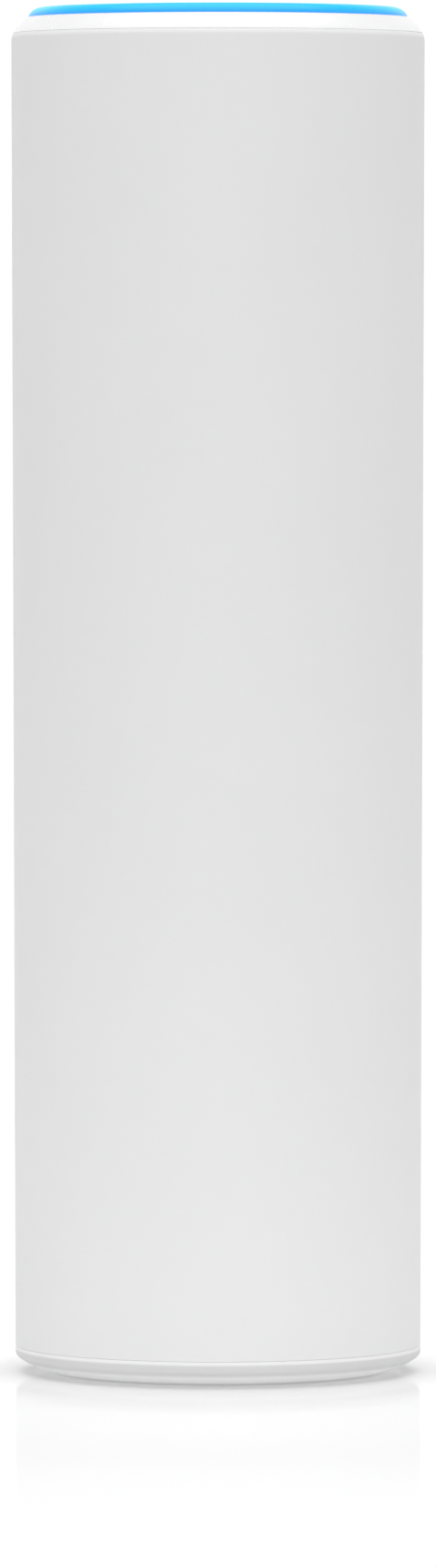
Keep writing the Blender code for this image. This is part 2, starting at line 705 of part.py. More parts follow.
def led_board(board_finish, led_finish, screw_finish):
    low, high = LED_BOARD_Z
    disc = turned(
        "led_board", [(0, low), (LED_BOARD_RADIUS, low), (LED_BOARD_RADIUS, high), (0, high)], board_finish
    )
    places = [(side * LED_SCREW_X, 0, low - 1) for side in (-1, 1)]
    cut(disc, rods("led_board_holes", places, (0, 0, 1), 4.0, SCREW_HOLE))
    for number in range(LED_COUNT):
        angle = (number + 0.5) * 360 / LED_COUNT
        lamp = block(f"led_{number + 1}", (-1.0, -1.4, 0), (1.0, 1.4, 1.0), led_finish, bevel=0.15)
        turn_to(lamp, angle).location = Vector(polar(LED_ORBIT, angle, high + REST / 2)) * MM
    for number, (x, _, _) in enumerate(places, 1):
        made = screw(f"led_board_screw_{number}", 3.2, screw_finish)
        made.location = Vector((x, 0, low - REST / 2)) * MM


def led_baffle(finish):
    """The white dish inside the ring of lamps, which carries the top disc."""
    low, floor, top, inner, outer = 152.65, 155.6, 157.0, 16.2, 17.55
    profile = [(0, floor), (inner, floor), (inner, low), (outer, low), (outer, top), (0, top)]
    dish = turned("led_baffle", profile, finish, steps=SMALL_ROUND)
    places = [(side * LED_SCREW_X, 0, low + 0.05) for side in (-1, 1)]
    posts = rods("baffle_posts", places, (0, 0, 1), floor - low + 0.5, 2.2)
    pilots = rods("baffle_pilots", [(x, y, z - 1) for x, y, z in places], (0, 0, 1), 3.6, PILOT_HOLE)
    return cut(join(dish, posts), pilots)


def light_guide(finish):
    inner, outer = 17.9, LEDGE_UNDER_RING[0] - FIT
    low, high = 153.9, LEDGE_UNDER_RING[1] - REST
    return turned("light_guide", [(inner, low), (outer, low), (outer, high), (inner, high)], finish)


def crown(finish):
    """The white shoulder ring: a slope outside, a seat for the light ring, and a skirt in the sleeve."""
    seat_r, seat_z = LEDGE_UNDER_RING
    groove = (153.3, 154.7)
    step = LED_BOARD_Z[1] + 0.25
    profile = [
        (LED_BOARD_RADIUS + 0.25, SKIRT_Z),
        (SKIRT_OUTER - 0.3, SKIRT_Z),
        (SKIRT_OUTER, SKIRT_Z + 0.3),
        (SKIRT_OUTER, groove[0]),
        (21.4, groove[0]),
        (21.4, groove[1]),
        (SKIRT_OUTER, groove[1]),
        (SKIRT_OUTER, CROWN_Z),
        (TOP_RADIUS - 0.25, CROWN_Z),
    ]
    profile += bowed((TOP_RADIUS - 0.13, CROWN_Z + 0.1), CROWN_TOP, SHOULDER_ARC, 4)
    profile += [
        (CROWN_TOP[0], seat_z),
        (seat_r, seat_z),
        (seat_r, step),
        (LED_BOARD_RADIUS + 0.25, step),
    ]
    return turned("crown", profile, finish)


def light_ring(finish):
    """The glowing ring: a rounded outer corner above the crown, and a flat top."""
    low = LEDGE_UNDER_RING[1] + REST
    outer = CROWN_TOP[0] - 0.15
    corner = (HEIGHT - LIGHT_CORNER[1], outer - LIGHT_CORNER[0] + 0.25)
    start = math.degrees(math.acos((outer - corner[1]) / LIGHT_CORNER[0]))
    profile = [(LIGHT_RING_INNER, low), (outer, low)]
    profile += arc((corner[1], corner[0]), LIGHT_CORNER, start, 90, 5)
    profile += [(LIGHT_RING_INNER + 0.3, HEIGHT), (LIGHT_RING_INNER, HEIGHT - 0.3)]
    return turned("light_ring", profile, finish)


def top_disc(finish):
    """The shallow white dish in the middle of the ring."""
    low, top, dip = 157.15, HEIGHT - 0.4, 0.45
    rim = DISC_RADIUS - 0.9
    profile = [
        (0, low + 0.9),
        (rim - 0.5, low + 0.9),
        (rim - 0.5, low),
        (DISC_RADIUS, low),
        (DISC_RADIUS, top - 0.25),
        (DISC_RADIUS - 0.25, top),
    ]
    profile += [(rim * (1 - i / 5), top - dip * (1 - (1 - i / 5) ** 2)) for i in range(6)]
    return turned("top_disc", profile, finish)


def build():
    for old in list(bpy.data.objects):
        bpy.data.objects.remove(old)
    mat = make_materials()
    base_cap(mat["shell"])
    foot_pad(mat["rubber"])
    ring_seal("base_grip_ring", 21.5, sum(GRIP_GROOVE_Z) / 2, 1.05, mat["rubber"])
    sleeve(mat["shell"])
    crown(mat["crown"])
    ring_seal("crown_seal", 21.92, 154.0, 0.9, mat["rubber"])
    light_ring(mat["light"])
    top_disc(mat["crown"])
    light_guide(mat["guide"])
    led_baffle(mat["white"])
    led_board(mat["board"], mat["led"], mat["steel"])
    led_ribbon(mat["lead"])
    inner_frame(mat["frame"])
    antennas(mat["board"], mat["lead"])
    main_board(mat["board"])
    heatsink(mat["alloy"], mat["steel"])
    board_parts(mat)
    bulkhead(mat["frame"])
    ring_seal("bulkhead_seal", 21.3, sum(SEAL_GROOVE_Z) / 2, 1.1, mat["rubber"])
    screws_under_bulkhead(mat["steel"])
    ethernet_jack(mat["steel"], mat["chip"])
    reset_parts(mat["frame"], mat["chip"])


build()
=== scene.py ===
"""The looks of a slim mesh wifi node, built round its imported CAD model.

Metres, Z up, the front towards -Y. Profiles are written in millimetres and scaled by MM.
"""

import json
import math
import random

import bmesh
import bpy
from mathutils import Matrix, Vector


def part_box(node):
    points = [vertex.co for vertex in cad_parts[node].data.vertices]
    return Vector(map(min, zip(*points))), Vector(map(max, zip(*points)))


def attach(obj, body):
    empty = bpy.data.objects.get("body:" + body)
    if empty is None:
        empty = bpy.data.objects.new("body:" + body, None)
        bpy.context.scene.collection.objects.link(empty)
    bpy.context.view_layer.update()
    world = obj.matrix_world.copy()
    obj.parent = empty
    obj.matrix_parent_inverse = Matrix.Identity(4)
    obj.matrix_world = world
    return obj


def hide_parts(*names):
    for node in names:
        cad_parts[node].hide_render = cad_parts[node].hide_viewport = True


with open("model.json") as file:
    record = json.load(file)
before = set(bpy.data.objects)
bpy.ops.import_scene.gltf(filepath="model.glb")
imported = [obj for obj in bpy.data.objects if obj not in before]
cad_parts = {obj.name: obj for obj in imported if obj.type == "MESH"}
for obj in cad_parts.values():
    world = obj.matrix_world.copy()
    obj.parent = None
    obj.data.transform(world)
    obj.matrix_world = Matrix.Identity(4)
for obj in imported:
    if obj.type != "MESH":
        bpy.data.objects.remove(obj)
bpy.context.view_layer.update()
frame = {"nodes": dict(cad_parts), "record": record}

MM = 0.001
FINE = 192  # steps round the outer shells
MEDIUM = 96  # steps round smaller rings
SHARP = math.radians(34)
SIDES = (-1, 1)
UP, BACK, RIGHT = (0, 0, 1), (0, 1, 0), (1, 0, 0)
HOUSING, BASE, RESET = "housing", "base", "reset"

# The camera stands a little below the crown's height and looks slightly down.
CAMERA_AT = (0.0, -1.305, 0.121)
CAMERA_TILT = 2.2785  # degrees below the horizon
CAMERA_LENS = 255.5
WALL_LIGHT, CEILING_LIGHT = 1.05, 0.35
CEILING_STARTS, CEILING_ENDS = 0.25, 0.75  # heights in the view's unit direction
FLOOR_RADIUS = 3.0
FLOOR_LAMP_RADIUS = 0.12
FLOOR_LAMP_POWER = 0.047  # watts

# How the floor changes with the distance from the object's middle: (start, end, value before, value after).
# The glow is painted light: a pool of light round the object, a patch beneath it, and a painted contact
# shadow close round the base where the pool fades out.
PAINTED_LIGHT_POOL = (0.04, 0.11, 0.20, 0.06)
PAINTED_CONTACT_SHADOW = (0.020, 0.041, 0.0, 1.0)
PAINTED_LIGHT_BENEATH = (0.0185, 0.0225, 0.29, 0.0)
POLISH = (0.03, 0.19, 0.44, 0.10)
POLISH_EDGE = (0.020, 0.034, 0.25, 1.0)


# ---------------------------------------------------------------- camera, floor and light


def added(name, data):
    """A new object in the scene."""
    made = bpy.data.objects.new(name, data)
    bpy.context.scene.collection.objects.link(made)
    return made


def camera():
    made = added("camera", bpy.data.cameras.new("camera"))
    made.data.lens = CAMERA_LENS
    made.data.clip_end = 20
    made.location = CAMERA_AT
    made.rotation_euler = (math.radians(90 - CAMERA_TILT), 0, 0)
    bpy.context.scene.camera = made


def sun(name, azimuth, elevation, strength, spread):
    """A soft light from far away. Azimuth 0 shines from the front, 90 from the right."""
    made = added(name, bpy.data.lights.new(name, "SUN"))
    made.data.energy = strength
    made.data.angle = math.radians(spread)
    az, el = math.radians(azimuth), math.radians(elevation)
    towards = Vector((math.sin(az) * math.cos(el), -math.cos(az) * math.cos(el), math.sin(el)))
    made.rotation_euler = towards.to_track_quat("Z", "Y").to_euler()


def floor_lamp():
    """Light from the floor round the object, unseen by the camera and by reflections."""
    made = added("floor_lamp", bpy.data.lights.new("floor_lamp", "AREA"))
    made.data.shape, made.data.size, made.data.energy = "DISK", 2 * FLOOR_LAMP_RADIUS, FLOOR_LAMP_POWER
    made.location.z = 0.0002
    made.rotation_euler.x = math.pi
    made.visible_camera = made.visible_glossy = False


def eased(nodes, links, source, start, end, first, last):
    """A value that eases from first to last while the source goes from start to end."""
    ease = nodes.new("ShaderNodeMapRange")
    ease.interpolation_type = "SMOOTHSTEP"
    for name, value in (("From Min", start), ("From Max", end), ("To Min", first), ("To Max", last)):
        ease.inputs[name].default_value = value
    links.new(source, ease.inputs["Value"])
    return ease.outputs["Result"]


def sums(nodes, links, operation, *sources):
    """The result of a Math node whose inputs are sockets or plain numbers."""
    node = nodes.new("ShaderNodeMath")
    node.operation = operation
    for socket, source in zip(node.inputs, sources):
        if isinstance(source, (int, float)):
            socket.default_value = source
        else:
            links.new(source, socket)
    return node.outputs[0]


def studio():
    """A white room whose walls are brightest at the horizon, under a large soft lamp."""
    bpy.context.scene.view_settings.view_transform = "Standard"
    world = bpy.data.worlds.new("studio")
    bpy.context.scene.world = world
    world.use_nodes = True
    nodes, links = world.node_tree.nodes, world.node_tree.links
    background = nodes["Background"]
    background.inputs["Color"].default_value = (1, 1, 1, 1)
    direction = nodes.new("ShaderNodeTexCoord")
    split = nodes.new("ShaderNodeSeparateXYZ")
    links.new(direction.outputs["Generated"], split.inputs[0])
    height = split.outputs["Z"]
    strength = eased(nodes, links, height, CEILING_STARTS, CEILING_ENDS, WALL_LIGHT, CEILING_LIGHT)
    links.new(strength, background.inputs["Strength"])
    sun("top_light", 0, 88, 2.0, 70)
    sun("front_light", 0, 14, 0.62, 60)
    floor_lamp()


def floor():
    """A pale surface with a painted pool of light round and beneath the object, a painted contact shadow
    close round its base, and a soft polish that fades outwards.
    """
    bm = bmesh.new()
    bmesh.ops.create_circle(bm, cap_ends=True, segments=96, radius=FLOOR_RADIUS)
    made = added("floor", bpy.data.meshes.new("floor"))
    bm.to_mesh(made.data)
    bm.free()
    mat, nodes, links, shader = principled(
        "floor_white", (0.8, 0.8, 0.8), 0.7, Specular_IOR_Level=0.0, Emission_Color=(1, 1, 1, 1)
    )
    place = nodes.new("ShaderNodeTexCoord")
    length = nodes.new("ShaderNodeVectorMath")
    length.operation = "LENGTH"
    links.new(place.outputs["Object"], length.inputs[0])
    # Painted light and shadow on the floor: a pool of light round the object, faded to nothing close round
    # the base by the edge ramp as a painted contact shadow, and a patch of light beneath the object.
    painted_pool, edge, painted_beneath, polish, polish_edge = (
        eased(nodes, links, length.outputs["Value"], *numbers)
        for numbers in (PAINTED_LIGHT_POOL, PAINTED_CONTACT_SHADOW, PAINTED_LIGHT_BENEATH, POLISH, POLISH_EDGE)
    )
    painted_glow = sums(nodes, links, "MULTIPLY_ADD", painted_pool, edge, painted_beneath)
    links.new(painted_glow, shader.inputs["Emission Strength"])
    gloss = nodes.new("ShaderNodeBsdfGlossy")
    gloss.inputs["Roughness"].default_value = 0.06
    gloss.inputs["Color"].default_value = (1, 1, 1, 1)
    mix = nodes.new("ShaderNodeMixShader")
    links.new(sums(nodes, links, "MULTIPLY", polish, polish_edge), mix.inputs["Fac"])
    links.new(shader.outputs[0], mix.inputs[1])
    links.new(gloss.outputs[0], mix.inputs[2])
    links.new(mix.outputs[0], nodes["Material Output"].inputs["Surface"])
    made.data.materials.append(mat)


# ---------------------------------------------------------------- materials


def principled(name, colour, roughness, metallic=0.0, **sockets):
    mat = bpy.data.materials.new(name)
    mat.use_nodes = True
    nodes, links = mat.node_tree.nodes, mat.node_tree.links
    shader = nodes["Principled BSDF"]
    shader.inputs["Base Color"].default_value = (*colour, 1)
    shader.inputs["Roughness"].default_value = roughness
    shader.inputs["Metallic"].default_value = metallic
    for socket, value in sockets.items():
        shader.inputs[socket.replace("_", " ")].default_value = value
    return mat, nodes, links, shader


def noise(mat, size, detail=3.0, stretch=(1, 1, 1)):
    """A noise whose lumps are about `size` metres across, longer along the axes with a stretch above 1."""
    nodes, links = mat.node_tree.nodes, mat.node_tree.links
    place = nodes.new("ShaderNodeTexCoord")
    squeeze = nodes.new("ShaderNodeVectorMath")
    squeeze.operation = "DIVIDE"
    squeeze.inputs[1].default_value = stretch
    texture = nodes.new("ShaderNodeTexNoise")
    texture.inputs["Scale"].default_value = 1 / size
    texture.inputs["Detail"].default_value = detail
    links.new(place.outputs["Object"], squeeze.inputs[0])
    links.new(squeeze.outputs[0], texture.inputs["Vector"])
    return texture.outputs["Fac"]


def vary_colour(mat, factor, first, second):
    """The base colour goes from one shade to another."""
    nodes, links = mat.node_tree.nodes, mat.node_tree.links
    ramp = nodes.new("ShaderNodeValToRGB")
    for element, position, colour in zip(ramp.color_ramp.elements, (0.3, 0.7), (first, second)):
        element.position, element.color = position, (*colour, 1)
    links.new(factor, ramp.inputs["Fac"])
    links.new(ramp.outputs["Color"], nodes["Principled BSDF"].inputs["Base Color"])


def vary_roughness(mat, factor, low, high):
    nodes, links = mat.node_tree.nodes, mat.node_tree.links
    spread = nodes.new("ShaderNodeMapRange")
    spread.inputs["From Min"].default_value, spread.inputs["From Max"].default_value = 0.25, 0.75
    spread.inputs["To Min"].default_value, spread.inputs["To Max"].default_value = low, high
    links.new(factor, spread.inputs["Value"])
    links.new(spread.outputs["Result"], nodes["Principled BSDF"].inputs["Roughness"])


def grain(mat, factor, depth, strength=1.0):
    """A bump whose highest lumps stand `depth` metres proud."""
    nodes, links = mat.node_tree.nodes, mat.node_tree.links
    bump = nodes.new("ShaderNodeBump")
    bump.inputs["Strength"].default_value = strength
    bump.inputs["Distance"].default_value = depth
    links.new(factor, bump.inputs["Height"])
    links.new(bump.outputs["Normal"], nodes["Principled BSDF"].inputs["Normal"])


def moulded(name, colour, roughness, texture=0.00022, depth=0.000012, shade=0.985, **sockets):
    """Moulded plastic: fine eroded texture, faint cloudiness, uneven polish."""
    mat, *_ = principled(name, colour, roughness, **sockets)
    vary_colour(mat, noise(mat, 0.022, 4), tuple(c * shade for c in colour), colour)
    vary_roughness(mat, noise(mat, 0.004, 4), roughness - 0.03, roughness + 0.04)
    grain(mat, noise(mat, texture, 2), depth)
    return mat


def band(nodes, links, height, middle, reach, most):
    """A value that is `most` near one height, and fades to nought `reach` above and below it."""
    offset = sums(nodes, links, "SUBTRACT", height, middle)
    distance = sums(nodes, links, "ABSOLUTE", offset)
    return eased(nodes, links, distance, reach * 0.3, reach, most, 0.0)


def object_heights(nodes, links):
    """Each point's height above the floor, in metres."""
    place = nodes.new("ShaderNodeTexCoord")
    split = nodes.new("ShaderNodeSeparateXYZ")
    links.new(place.outputs["Object"], split.inputs[0])
    return split.outputs["Z"]


def painted_highlight_white(name, colour, paler, *bands):
    """Matte white with painted highlights: paler in bands of (height, reach above and below, how much of the
    paler shows), standing in for light caught along edges and corners.
    """
    mat = moulded(name, colour, 0.46, Specular_IOR_Level=0.35)
    nodes, links = mat.node_tree.nodes, mat.node_tree.links
    shown = nodes["Principled BSDF"].inputs["Base Color"]
    height = object_heights(nodes, links)
    for middle, reach, most in bands:
        mix = nodes.new("ShaderNodeMix")
        mix.data_type = "RGBA"
        mix.inputs["B"].default_value = (*paler, 1)
        links.new(band(nodes, links, height, middle, reach, most), mix.inputs["Factor"])
        links.new(shown.links[0].from_socket, mix.inputs["A"])
        links.new(mix.outputs["Result"], shown)
    return mat


def light_blue():
    """Milky diffuser, lit from below: deeper blue low down, paler where the light leaves it."""
    low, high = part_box("light_ring")
    mat, nodes, links, shader = principled(
        "light_blue", (0.004, 0.14, 0.40), 0.28, Specular_IOR_Level=0.2, Emission_Strength=1.0
    )
    height = nodes.new("ShaderNodeMapRange")
    height.inputs["From Min"].default_value, height.inputs["From Max"].default_value = low.z, high.z
    ramp = nodes.new("ShaderNodeValToRGB")
    first, last = ramp.color_ramp.elements
    first.position, first.color = 0.5, (0.03, 0.25, 0.80, 1)
    last.position, last.color = 0.85, (0.015, 0.47, 0.92, 1)
    links.new(object_heights(nodes, links), height.inputs["Value"])
    links.new(height.outputs["Result"], ramp.inputs["Fac"])
    links.new(ramp.outputs["Color"], shader.inputs["Emission Color"])
    vary_roughness(mat, noise(mat, 0.003), 0.25, 0.33)
    grain(mat, noise(mat, 0.0008, 2), 0.000004)
    return mat


def clear_guide():
    mat, *_ = principled("clear_guide", (0.85, 0.95, 1.0), 0.08, Transmission_Weight=0.85, IOR=1.49)
    grain(mat, noise(mat, 0.002), 0.00001)
    return mat


def circuit_board():
    """Green solder mask over patches of parallel tracks, level in some patches and upright in others."""
    mat, nodes, links, _ = principled("circuit_board", (0.012, 0.12, 0.06), 0.34, Coat_Weight=0.3)
    place = nodes.new("ShaderNodeTexCoord")
    patches = nodes.new("ShaderNodeTexVoronoi")
    patches.distance = "CHEBYCHEV"
    patches.inputs["Scale"].default_value = 190
    links.new(place.outputs["Object"], patches.inputs["Vector"])
    chance = nodes.new("ShaderNodeSeparateColor")
    links.new(patches.outputs["Color"], chance.inputs[0])
    upright = sums(nodes, links, "GREATER_THAN", chance.outputs["Red"], 0.5)
    tracked = sums(nodes, links, "GREATER_THAN", chance.outputs["Green"], 0.4)
    pick = nodes.new("ShaderNodeMix")
    links.new(upright, pick.inputs["Factor"])
    for axis, socket in (("Z", "A"), ("X", "B")):
        lines = nodes.new("ShaderNodeTexWave")
        lines.bands_direction = axis
        lines.inputs["Scale"].default_value = 420
        links.new(place.outputs["Object"], lines.inputs["Vector"])
        links.new(lines.outputs["Fac"], pick.inputs[socket])
    tracks = eased(nodes, links, pick.outputs["Result"], 0.55, 0.75, 0.0, 1.0)
    shown = sums(nodes, links, "MULTIPLY", tracks, tracked)
    vary_colour(mat, shown, (0.010, 0.105, 0.052), (0.020, 0.165, 0.082))
    grain(mat, shown, 0.00002, 0.6)
    vary_roughness(mat, noise(mat, 0.002), 0.28, 0.42)
    return mat


def brushed(name, colour, roughness, along):
    """Metal with fine draw lines along one axis."""
    mat, *_ = principled(name, colour, roughness, 1.0)
    lines = noise(mat, 0.00025, 2, tuple(30 if i == along else 1 for i in range(3)))
    vary_colour(mat, lines, tuple(c * 0.86 for c in colour), colour)
    vary_roughness(mat, lines, roughness - 0.06, roughness + 0.1)
    grain(mat, lines, 0.000006)
    return mat


def gold():
    mat, *_ = principled("contact_gold", (0.95, 0.66, 0.24), 0.22, 1.0)
    vary_roughness(mat, noise(mat, 0.0005), 0.16, 0.32)
    return mat


LOOKS = {}  # every material of the object, by name

# Moulded materials: colour, roughness, and what differs from a moulded surface's usual texture.
MOULDED = {
    "crown_white": ((0.79, 0.79, 0.795), 0.25, dict(texture=0.0006, depth=0.000004, Specular_IOR_Level=0.3)),
    "disc_white": ((0.76, 0.76, 0.765), 0.40, {}),
    "frame_grey": ((0.30, 0.31, 0.33), 0.5, dict(shade=0.9)),
    "button_grey": ((0.16, 0.165, 0.175), 0.4, dict(shade=0.9)),
    "foot_rubber": ((0.45, 0.45, 0.46), 0.78, dict(texture=0.0004, depth=0.00003, shade=0.9)),
    "seal_rubber": ((0.025, 0.025, 0.028), 0.55, dict(texture=0.0005, depth=0.00001, shade=0.8)),
    "antenna_board": ((0.012, 0.125, 0.062), 0.34, dict(shade=0.85, Coat_Weight=0.3)),
    "chip_black": ((0.018, 0.018, 0.02), 0.5, dict(texture=0.00015, depth=0.00001, shade=0.75)),
    "thermal_pad": ((0.20, 0.33, 0.55), 0.85, dict(texture=0.0005, depth=0.00004, shade=0.85)),
    "lead_black": ((0.02, 0.02, 0.022), 0.45, dict(shade=0.7)),
    "led_cream": ((0.85, 0.80, 0.50), 0.25, dict(texture=0.0004, depth=0.000005, shade=0.93)),
    "reflector_white": ((0.90, 0.90, 0.90), 0.55, {}),
}

# Metals: colour, roughness, and the axis (0 for X, 1 for Y, 2 for Z) that their draw lines run along.
BRUSHED = {
    "can_alloy": ((0.75, 0.76, 0.78), 0.25, 1),
    "heatsink_alloy": ((0.62, 0.63, 0.65), 0.36, 2),
    "tinned_steel": ((0.72, 0.72, 0.73), 0.26, 2),
    "plated_screw": ((0.66, 0.66, 0.67), 0.24, 0),
}


def make_looks():
    """Every material of the object, by name."""
    # Painted highlight: a paler band along the sleeve's top edge, under the crown, for light caught at the
    # seam.
    shell_top_highlight = (SLEEVE_HIGH * MM, 0.00065, 1.0)
    # Painted highlights: a paler band along the base's top edge, and a paler band at its lower corner for
    # light thrown up from the floor.
    base_top_highlight, base_corner_highlight = (0.0031, 0.0005, 0.75), (0.0009, 0.0007, 0.9)
    made = {
        "shell_white": painted_highlight_white("shell_white", (0.635, 0.635, 0.64), (0.715, 0.715, 0.72), shell_top_highlight),
        # The base's grey is darker than the sleeve's: painted shade for its band, which curves down towards
        # the floor.
        "base_white": painted_highlight_white("base_white", (0.53, 0.53, 0.535), (0.74, 0.74, 0.745), base_top_highlight, base_corner_highlight),
        "light_blue": light_blue(),
        "clear_guide": clear_guide(),
        "circuit_board": circuit_board(),
        "gold": gold(),
    }
    for name, (colour, roughness, options) in MOULDED.items():
        made[name] = moulded(name, colour, roughness, **options)
    for name, (colour, roughness, along) in BRUSHED.items():
        made[name] = brushed(name, colour, roughness, along)
    return made


def dress_cad_nodes():
    """Every CAD node takes the material of its slot in the record."""
    for part in frame["record"]["subparts"]:
        node = frame["nodes"][part["node"]]
        node.data.materials.clear()
        node.data.materials.append(LOOKS[part["material_slot"]])


# ---------------------------------------------------------------- mesh helpers


def loose(bm, name="helper"):
    """An object for a bmesh, with its faces pointing out."""
    bmesh.ops.remove_doubles(bm, verts=bm.verts, dist=1e-7)
    bmesh.ops.recalc_face_normals(bm, faces=bm.faces)
    made = added(name, bpy.data.meshes.new(name))
    bm.to_mesh(made.data)
    bm.free()
    return made


def combined(bm, *steps):
    """The solid after each step, ("UNION" or "DIFFERENCE", another solid), in turn."""
    made = loose(bm)
    helpers = []
    for operation, other in steps:
        helper = loose(other)
        modifier = made.modifiers.new(operation, "BOOLEAN")
        modifier.operation, modifier.object = operation, helper
        helpers.append(helper)
    evaluated = made.evaluated_get(bpy.context.evaluated_depsgraph_get())
    result = bmesh.new()
    result.from_mesh(evaluated.to_mesh())
    evaluated.to_mesh_clear()
    for old in [made, *helpers]:
        mesh = old.data
        bpy.data.objects.remove(old)
        bpy.data.meshes.remove(mesh)
    return result


def cut(bm, *others):
    return combined(bm, *(("DIFFERENCE", other) for other in others))


def joined(bm, *others):
    return combined(bm, *(("UNION", other) for other in others))


def together(*solids):
    """Separate solids in one bmesh."""
    whole = bmesh.new()
    for bm in solids:
        mesh = bpy.data.meshes.new("part")
        bm.to_mesh(mesh)
        bm.free()
        whole.from_mesh(mesh)
        bpy.data.meshes.remove(mesh)
    return whole


def piece(name, bm, look, *nodes, body=HOUSING):
    """A finished piece of the object, which rides on a body and may stand for CAD nodes."""
    made = loose(bm, name)
    made.data.materials.append(LOOKS[look])
    made.data.shade_smooth()
    made.data.set_sharp_from_angle(angle=SHARP)
    weighted = made.modifiers.new("weighted_normals", "WEIGHTED_NORMAL")
    weighted.keep_sharp = True
    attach(made, body)
    if nodes:
        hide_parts(*nodes)


def placed(bm, matrix):
    bmesh.ops.transform(bm, matrix=matrix, verts=bm.verts)
    return bm


def shift(x, y, z):
    """A move, in millimetres."""
    return Matrix.Translation(Vector((x, y, z)) * MM)


def turn(degrees, axis="Z"):
    return Matrix.Rotation(math.radians(degrees), 4, axis)


def lathe(profile, steps=FINE):
    """A solid turned about Z from (radius, height) points in millimetres; it closes on itself, unless both
    its ends are on the axis."""
    bm = bmesh.new()
    points = [bm.verts.new((radius * MM, 0, z * MM)) for radius, z in profile]
    edges = [bm.edges.new(pair) for pair in zip(points, points[1:])]
    if profile[0][0] or profile[-1][0]:
        edges.append(bm.edges.new((points[-1], points[0])))
    bmesh.ops.spin(
        bm, geom=points + edges, cent=(0, 0, 0), axis=(0, 0, 1), angle=math.tau, steps=steps, use_merge=True
    )
    return bm


def extruded(outline, low, high):
    """A flat outline of (x, y) points raised from one height to another, in millimetres."""
    bm = bmesh.new()
    face = bm.faces.new([bm.verts.new(Vector((x, y, low)) * MM) for x, y in outline])
    grown = bmesh.ops.extrude_face_region(bm, geom=[face])
    moved = [v for v in grown["geom"] if isinstance(v, bmesh.types.BMVert)]
    bmesh.ops.translate(bm, verts=moved, vec=Vector(UP) * (high - low) * MM)
    return bm


def block(low, high, bevel=0.0, segments=2):
    """A box between two corners, in millimetres, with its edges rounded."""
    bm = bmesh.new()
    bmesh.ops.create_cube(bm, size=1)
    low, high = Vector(low) * MM, Vector(high) * MM
    placed(bm, Matrix.Translation((low + high) / 2) @ Matrix.Diagonal((*(high - low), 1)))
    if bevel:
        bmesh.ops.bevel(bm, geom=bm.edges, offset=bevel * MM, segments=segments, profile=0.5, affect="EDGES")
    return bm


def bars(starts, direction, length, radius, steps=32):
    """Equal round bars, each from its start along one direction of length 1."""
    bm = bmesh.new()
    along = Vector(direction)
    lean = Vector(UP).rotation_difference(along).to_matrix().to_4x4()
    for start in starts:
        place = Matrix.Translation((Vector(start) + along * length / 2) * MM) @ lean
        bmesh.ops.create_cone(
            bm, cap_ends=True, segments=steps, radius1=radius * MM, radius2=radius * MM, depth=length * MM,
            matrix=place,
        )
    return bm


def arc(middle, radii, start, end, steps):
    """Points of an arc from one angle to another, in degrees, round or with two radii."""
    across, up = radii if isinstance(radii, tuple) else (radii, radii)
    angles = [math.radians(start + (end - start) * i / steps) for i in range(steps + 1)]
    return [(middle[0] + across * math.cos(a), middle[1] + up * math.sin(a)) for a in angles]


def rim(radius, low, high, edge, steps=4):
    """The rounded rim of a disc, from its lower face to its upper one."""
    below = arc((radius - edge, low + edge), edge, -90, 0, steps)
    return below + arc((radius - edge, high - edge), edge, 0, 90, steps)


def bowed(start, end, radius, steps):
    """Points from start to end along a shallow arc that swells to the right of the way it runs."""
    a, b = Vector(start), Vector(end)
    chord = b - a
    across = Vector((chord.y, -chord.x)).normalized()
    middle = (a + b) / 2 - across * math.sqrt(radius**2 - (chord.length / 2) ** 2)
    spokes = [(a + chord * i / steps - middle).normalized() * radius for i in range(steps + 1)]
    return [tuple(middle + spoke) for spoke in spokes]


def polar(radius, degrees, z=0.0):
    angle = math.radians(degrees)
    return (radius * math.cos(angle), radius * math.sin(angle), z)


def box(node):
    """A CAD node's corners, in millimetres."""
    low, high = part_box(node)
    return low / MM, high / MM


# ---------------------------------------------------------------- the outer shells

SLEEVE_LOW, SLEEVE_HIGH = (corner.z for corner in box("sleeve"))
TOP_RADIUS = box("sleeve")[1].x
BASE_RADIUS = TOP_RADIUS - 0.4  # the moulding draft
WALL = 1.7
BASE_FLOOR = 2.0  # the top of the floor inside the base
LEDGE_RADIUS, LEDGE_Z = 20.6, (35.0, 37.2)
BOSS_ANGLES, BOSS_ORBIT, BOSS_RADIUS, BOSS_TOP = (0, 180, 270), 18.2, 2.3, 44.0
ARCH_HALF_WIDTH, ARCH_FLOOR, ARCH_CENTRE = 4.2, 2.3, 6.2
HAIRLINE = 0.012  # what shows of the gap between two shells
SLEEVE_SHOULDER = 0.24  # how far the sleeve's eased top edge comes in


def sleeve_radius(z):
    return BASE_RADIUS + (TOP_RADIUS - BASE_RADIUS) * (z - SLEEVE_LOW) / (SLEEVE_HIGH - SLEEVE_LOW)


def cable_arch(layers):
    """Cutter for the cable's way out, from layers of (radius, how far the cut spreads there)."""
    bm = bmesh.new()
    rings = []
    for radius, spread in layers:
        half = ARCH_HALF_WIDTH + spread
        outline = [(half, ARCH_FLOOR - spread)]
        outline += arc((0, ARCH_CENTRE), half, 0, 180, 32)
        outline += [(-half, ARCH_FLOOR - spread)]
        rings.append([bm.verts.new(Vector((x, math.sqrt(radius**2 - x**2), z)) * MM) for x, z in outline])
    for inner, outer in zip(rings, rings[1:]):
        for i in range(len(inner)):
            j = (i + 1) % len(inner)
            bm.faces.new((inner[i], inner[j], outer[j], outer[i]))
    bm.faces.new(rings[0])
    bm.faces.new(rings[-1])
    return bm


def flare(radius, size, outward):
    """Layers that round the cut's edge over to a shell's surface at that radius."""
    steps = [math.radians(90 * i / 5) for i in range(6)]
    found = [(radius - outward * size * (1 - math.sin(a)), size * (1 - math.cos(a))) for a in steps]
    return found if outward > 0 else found[::-1]


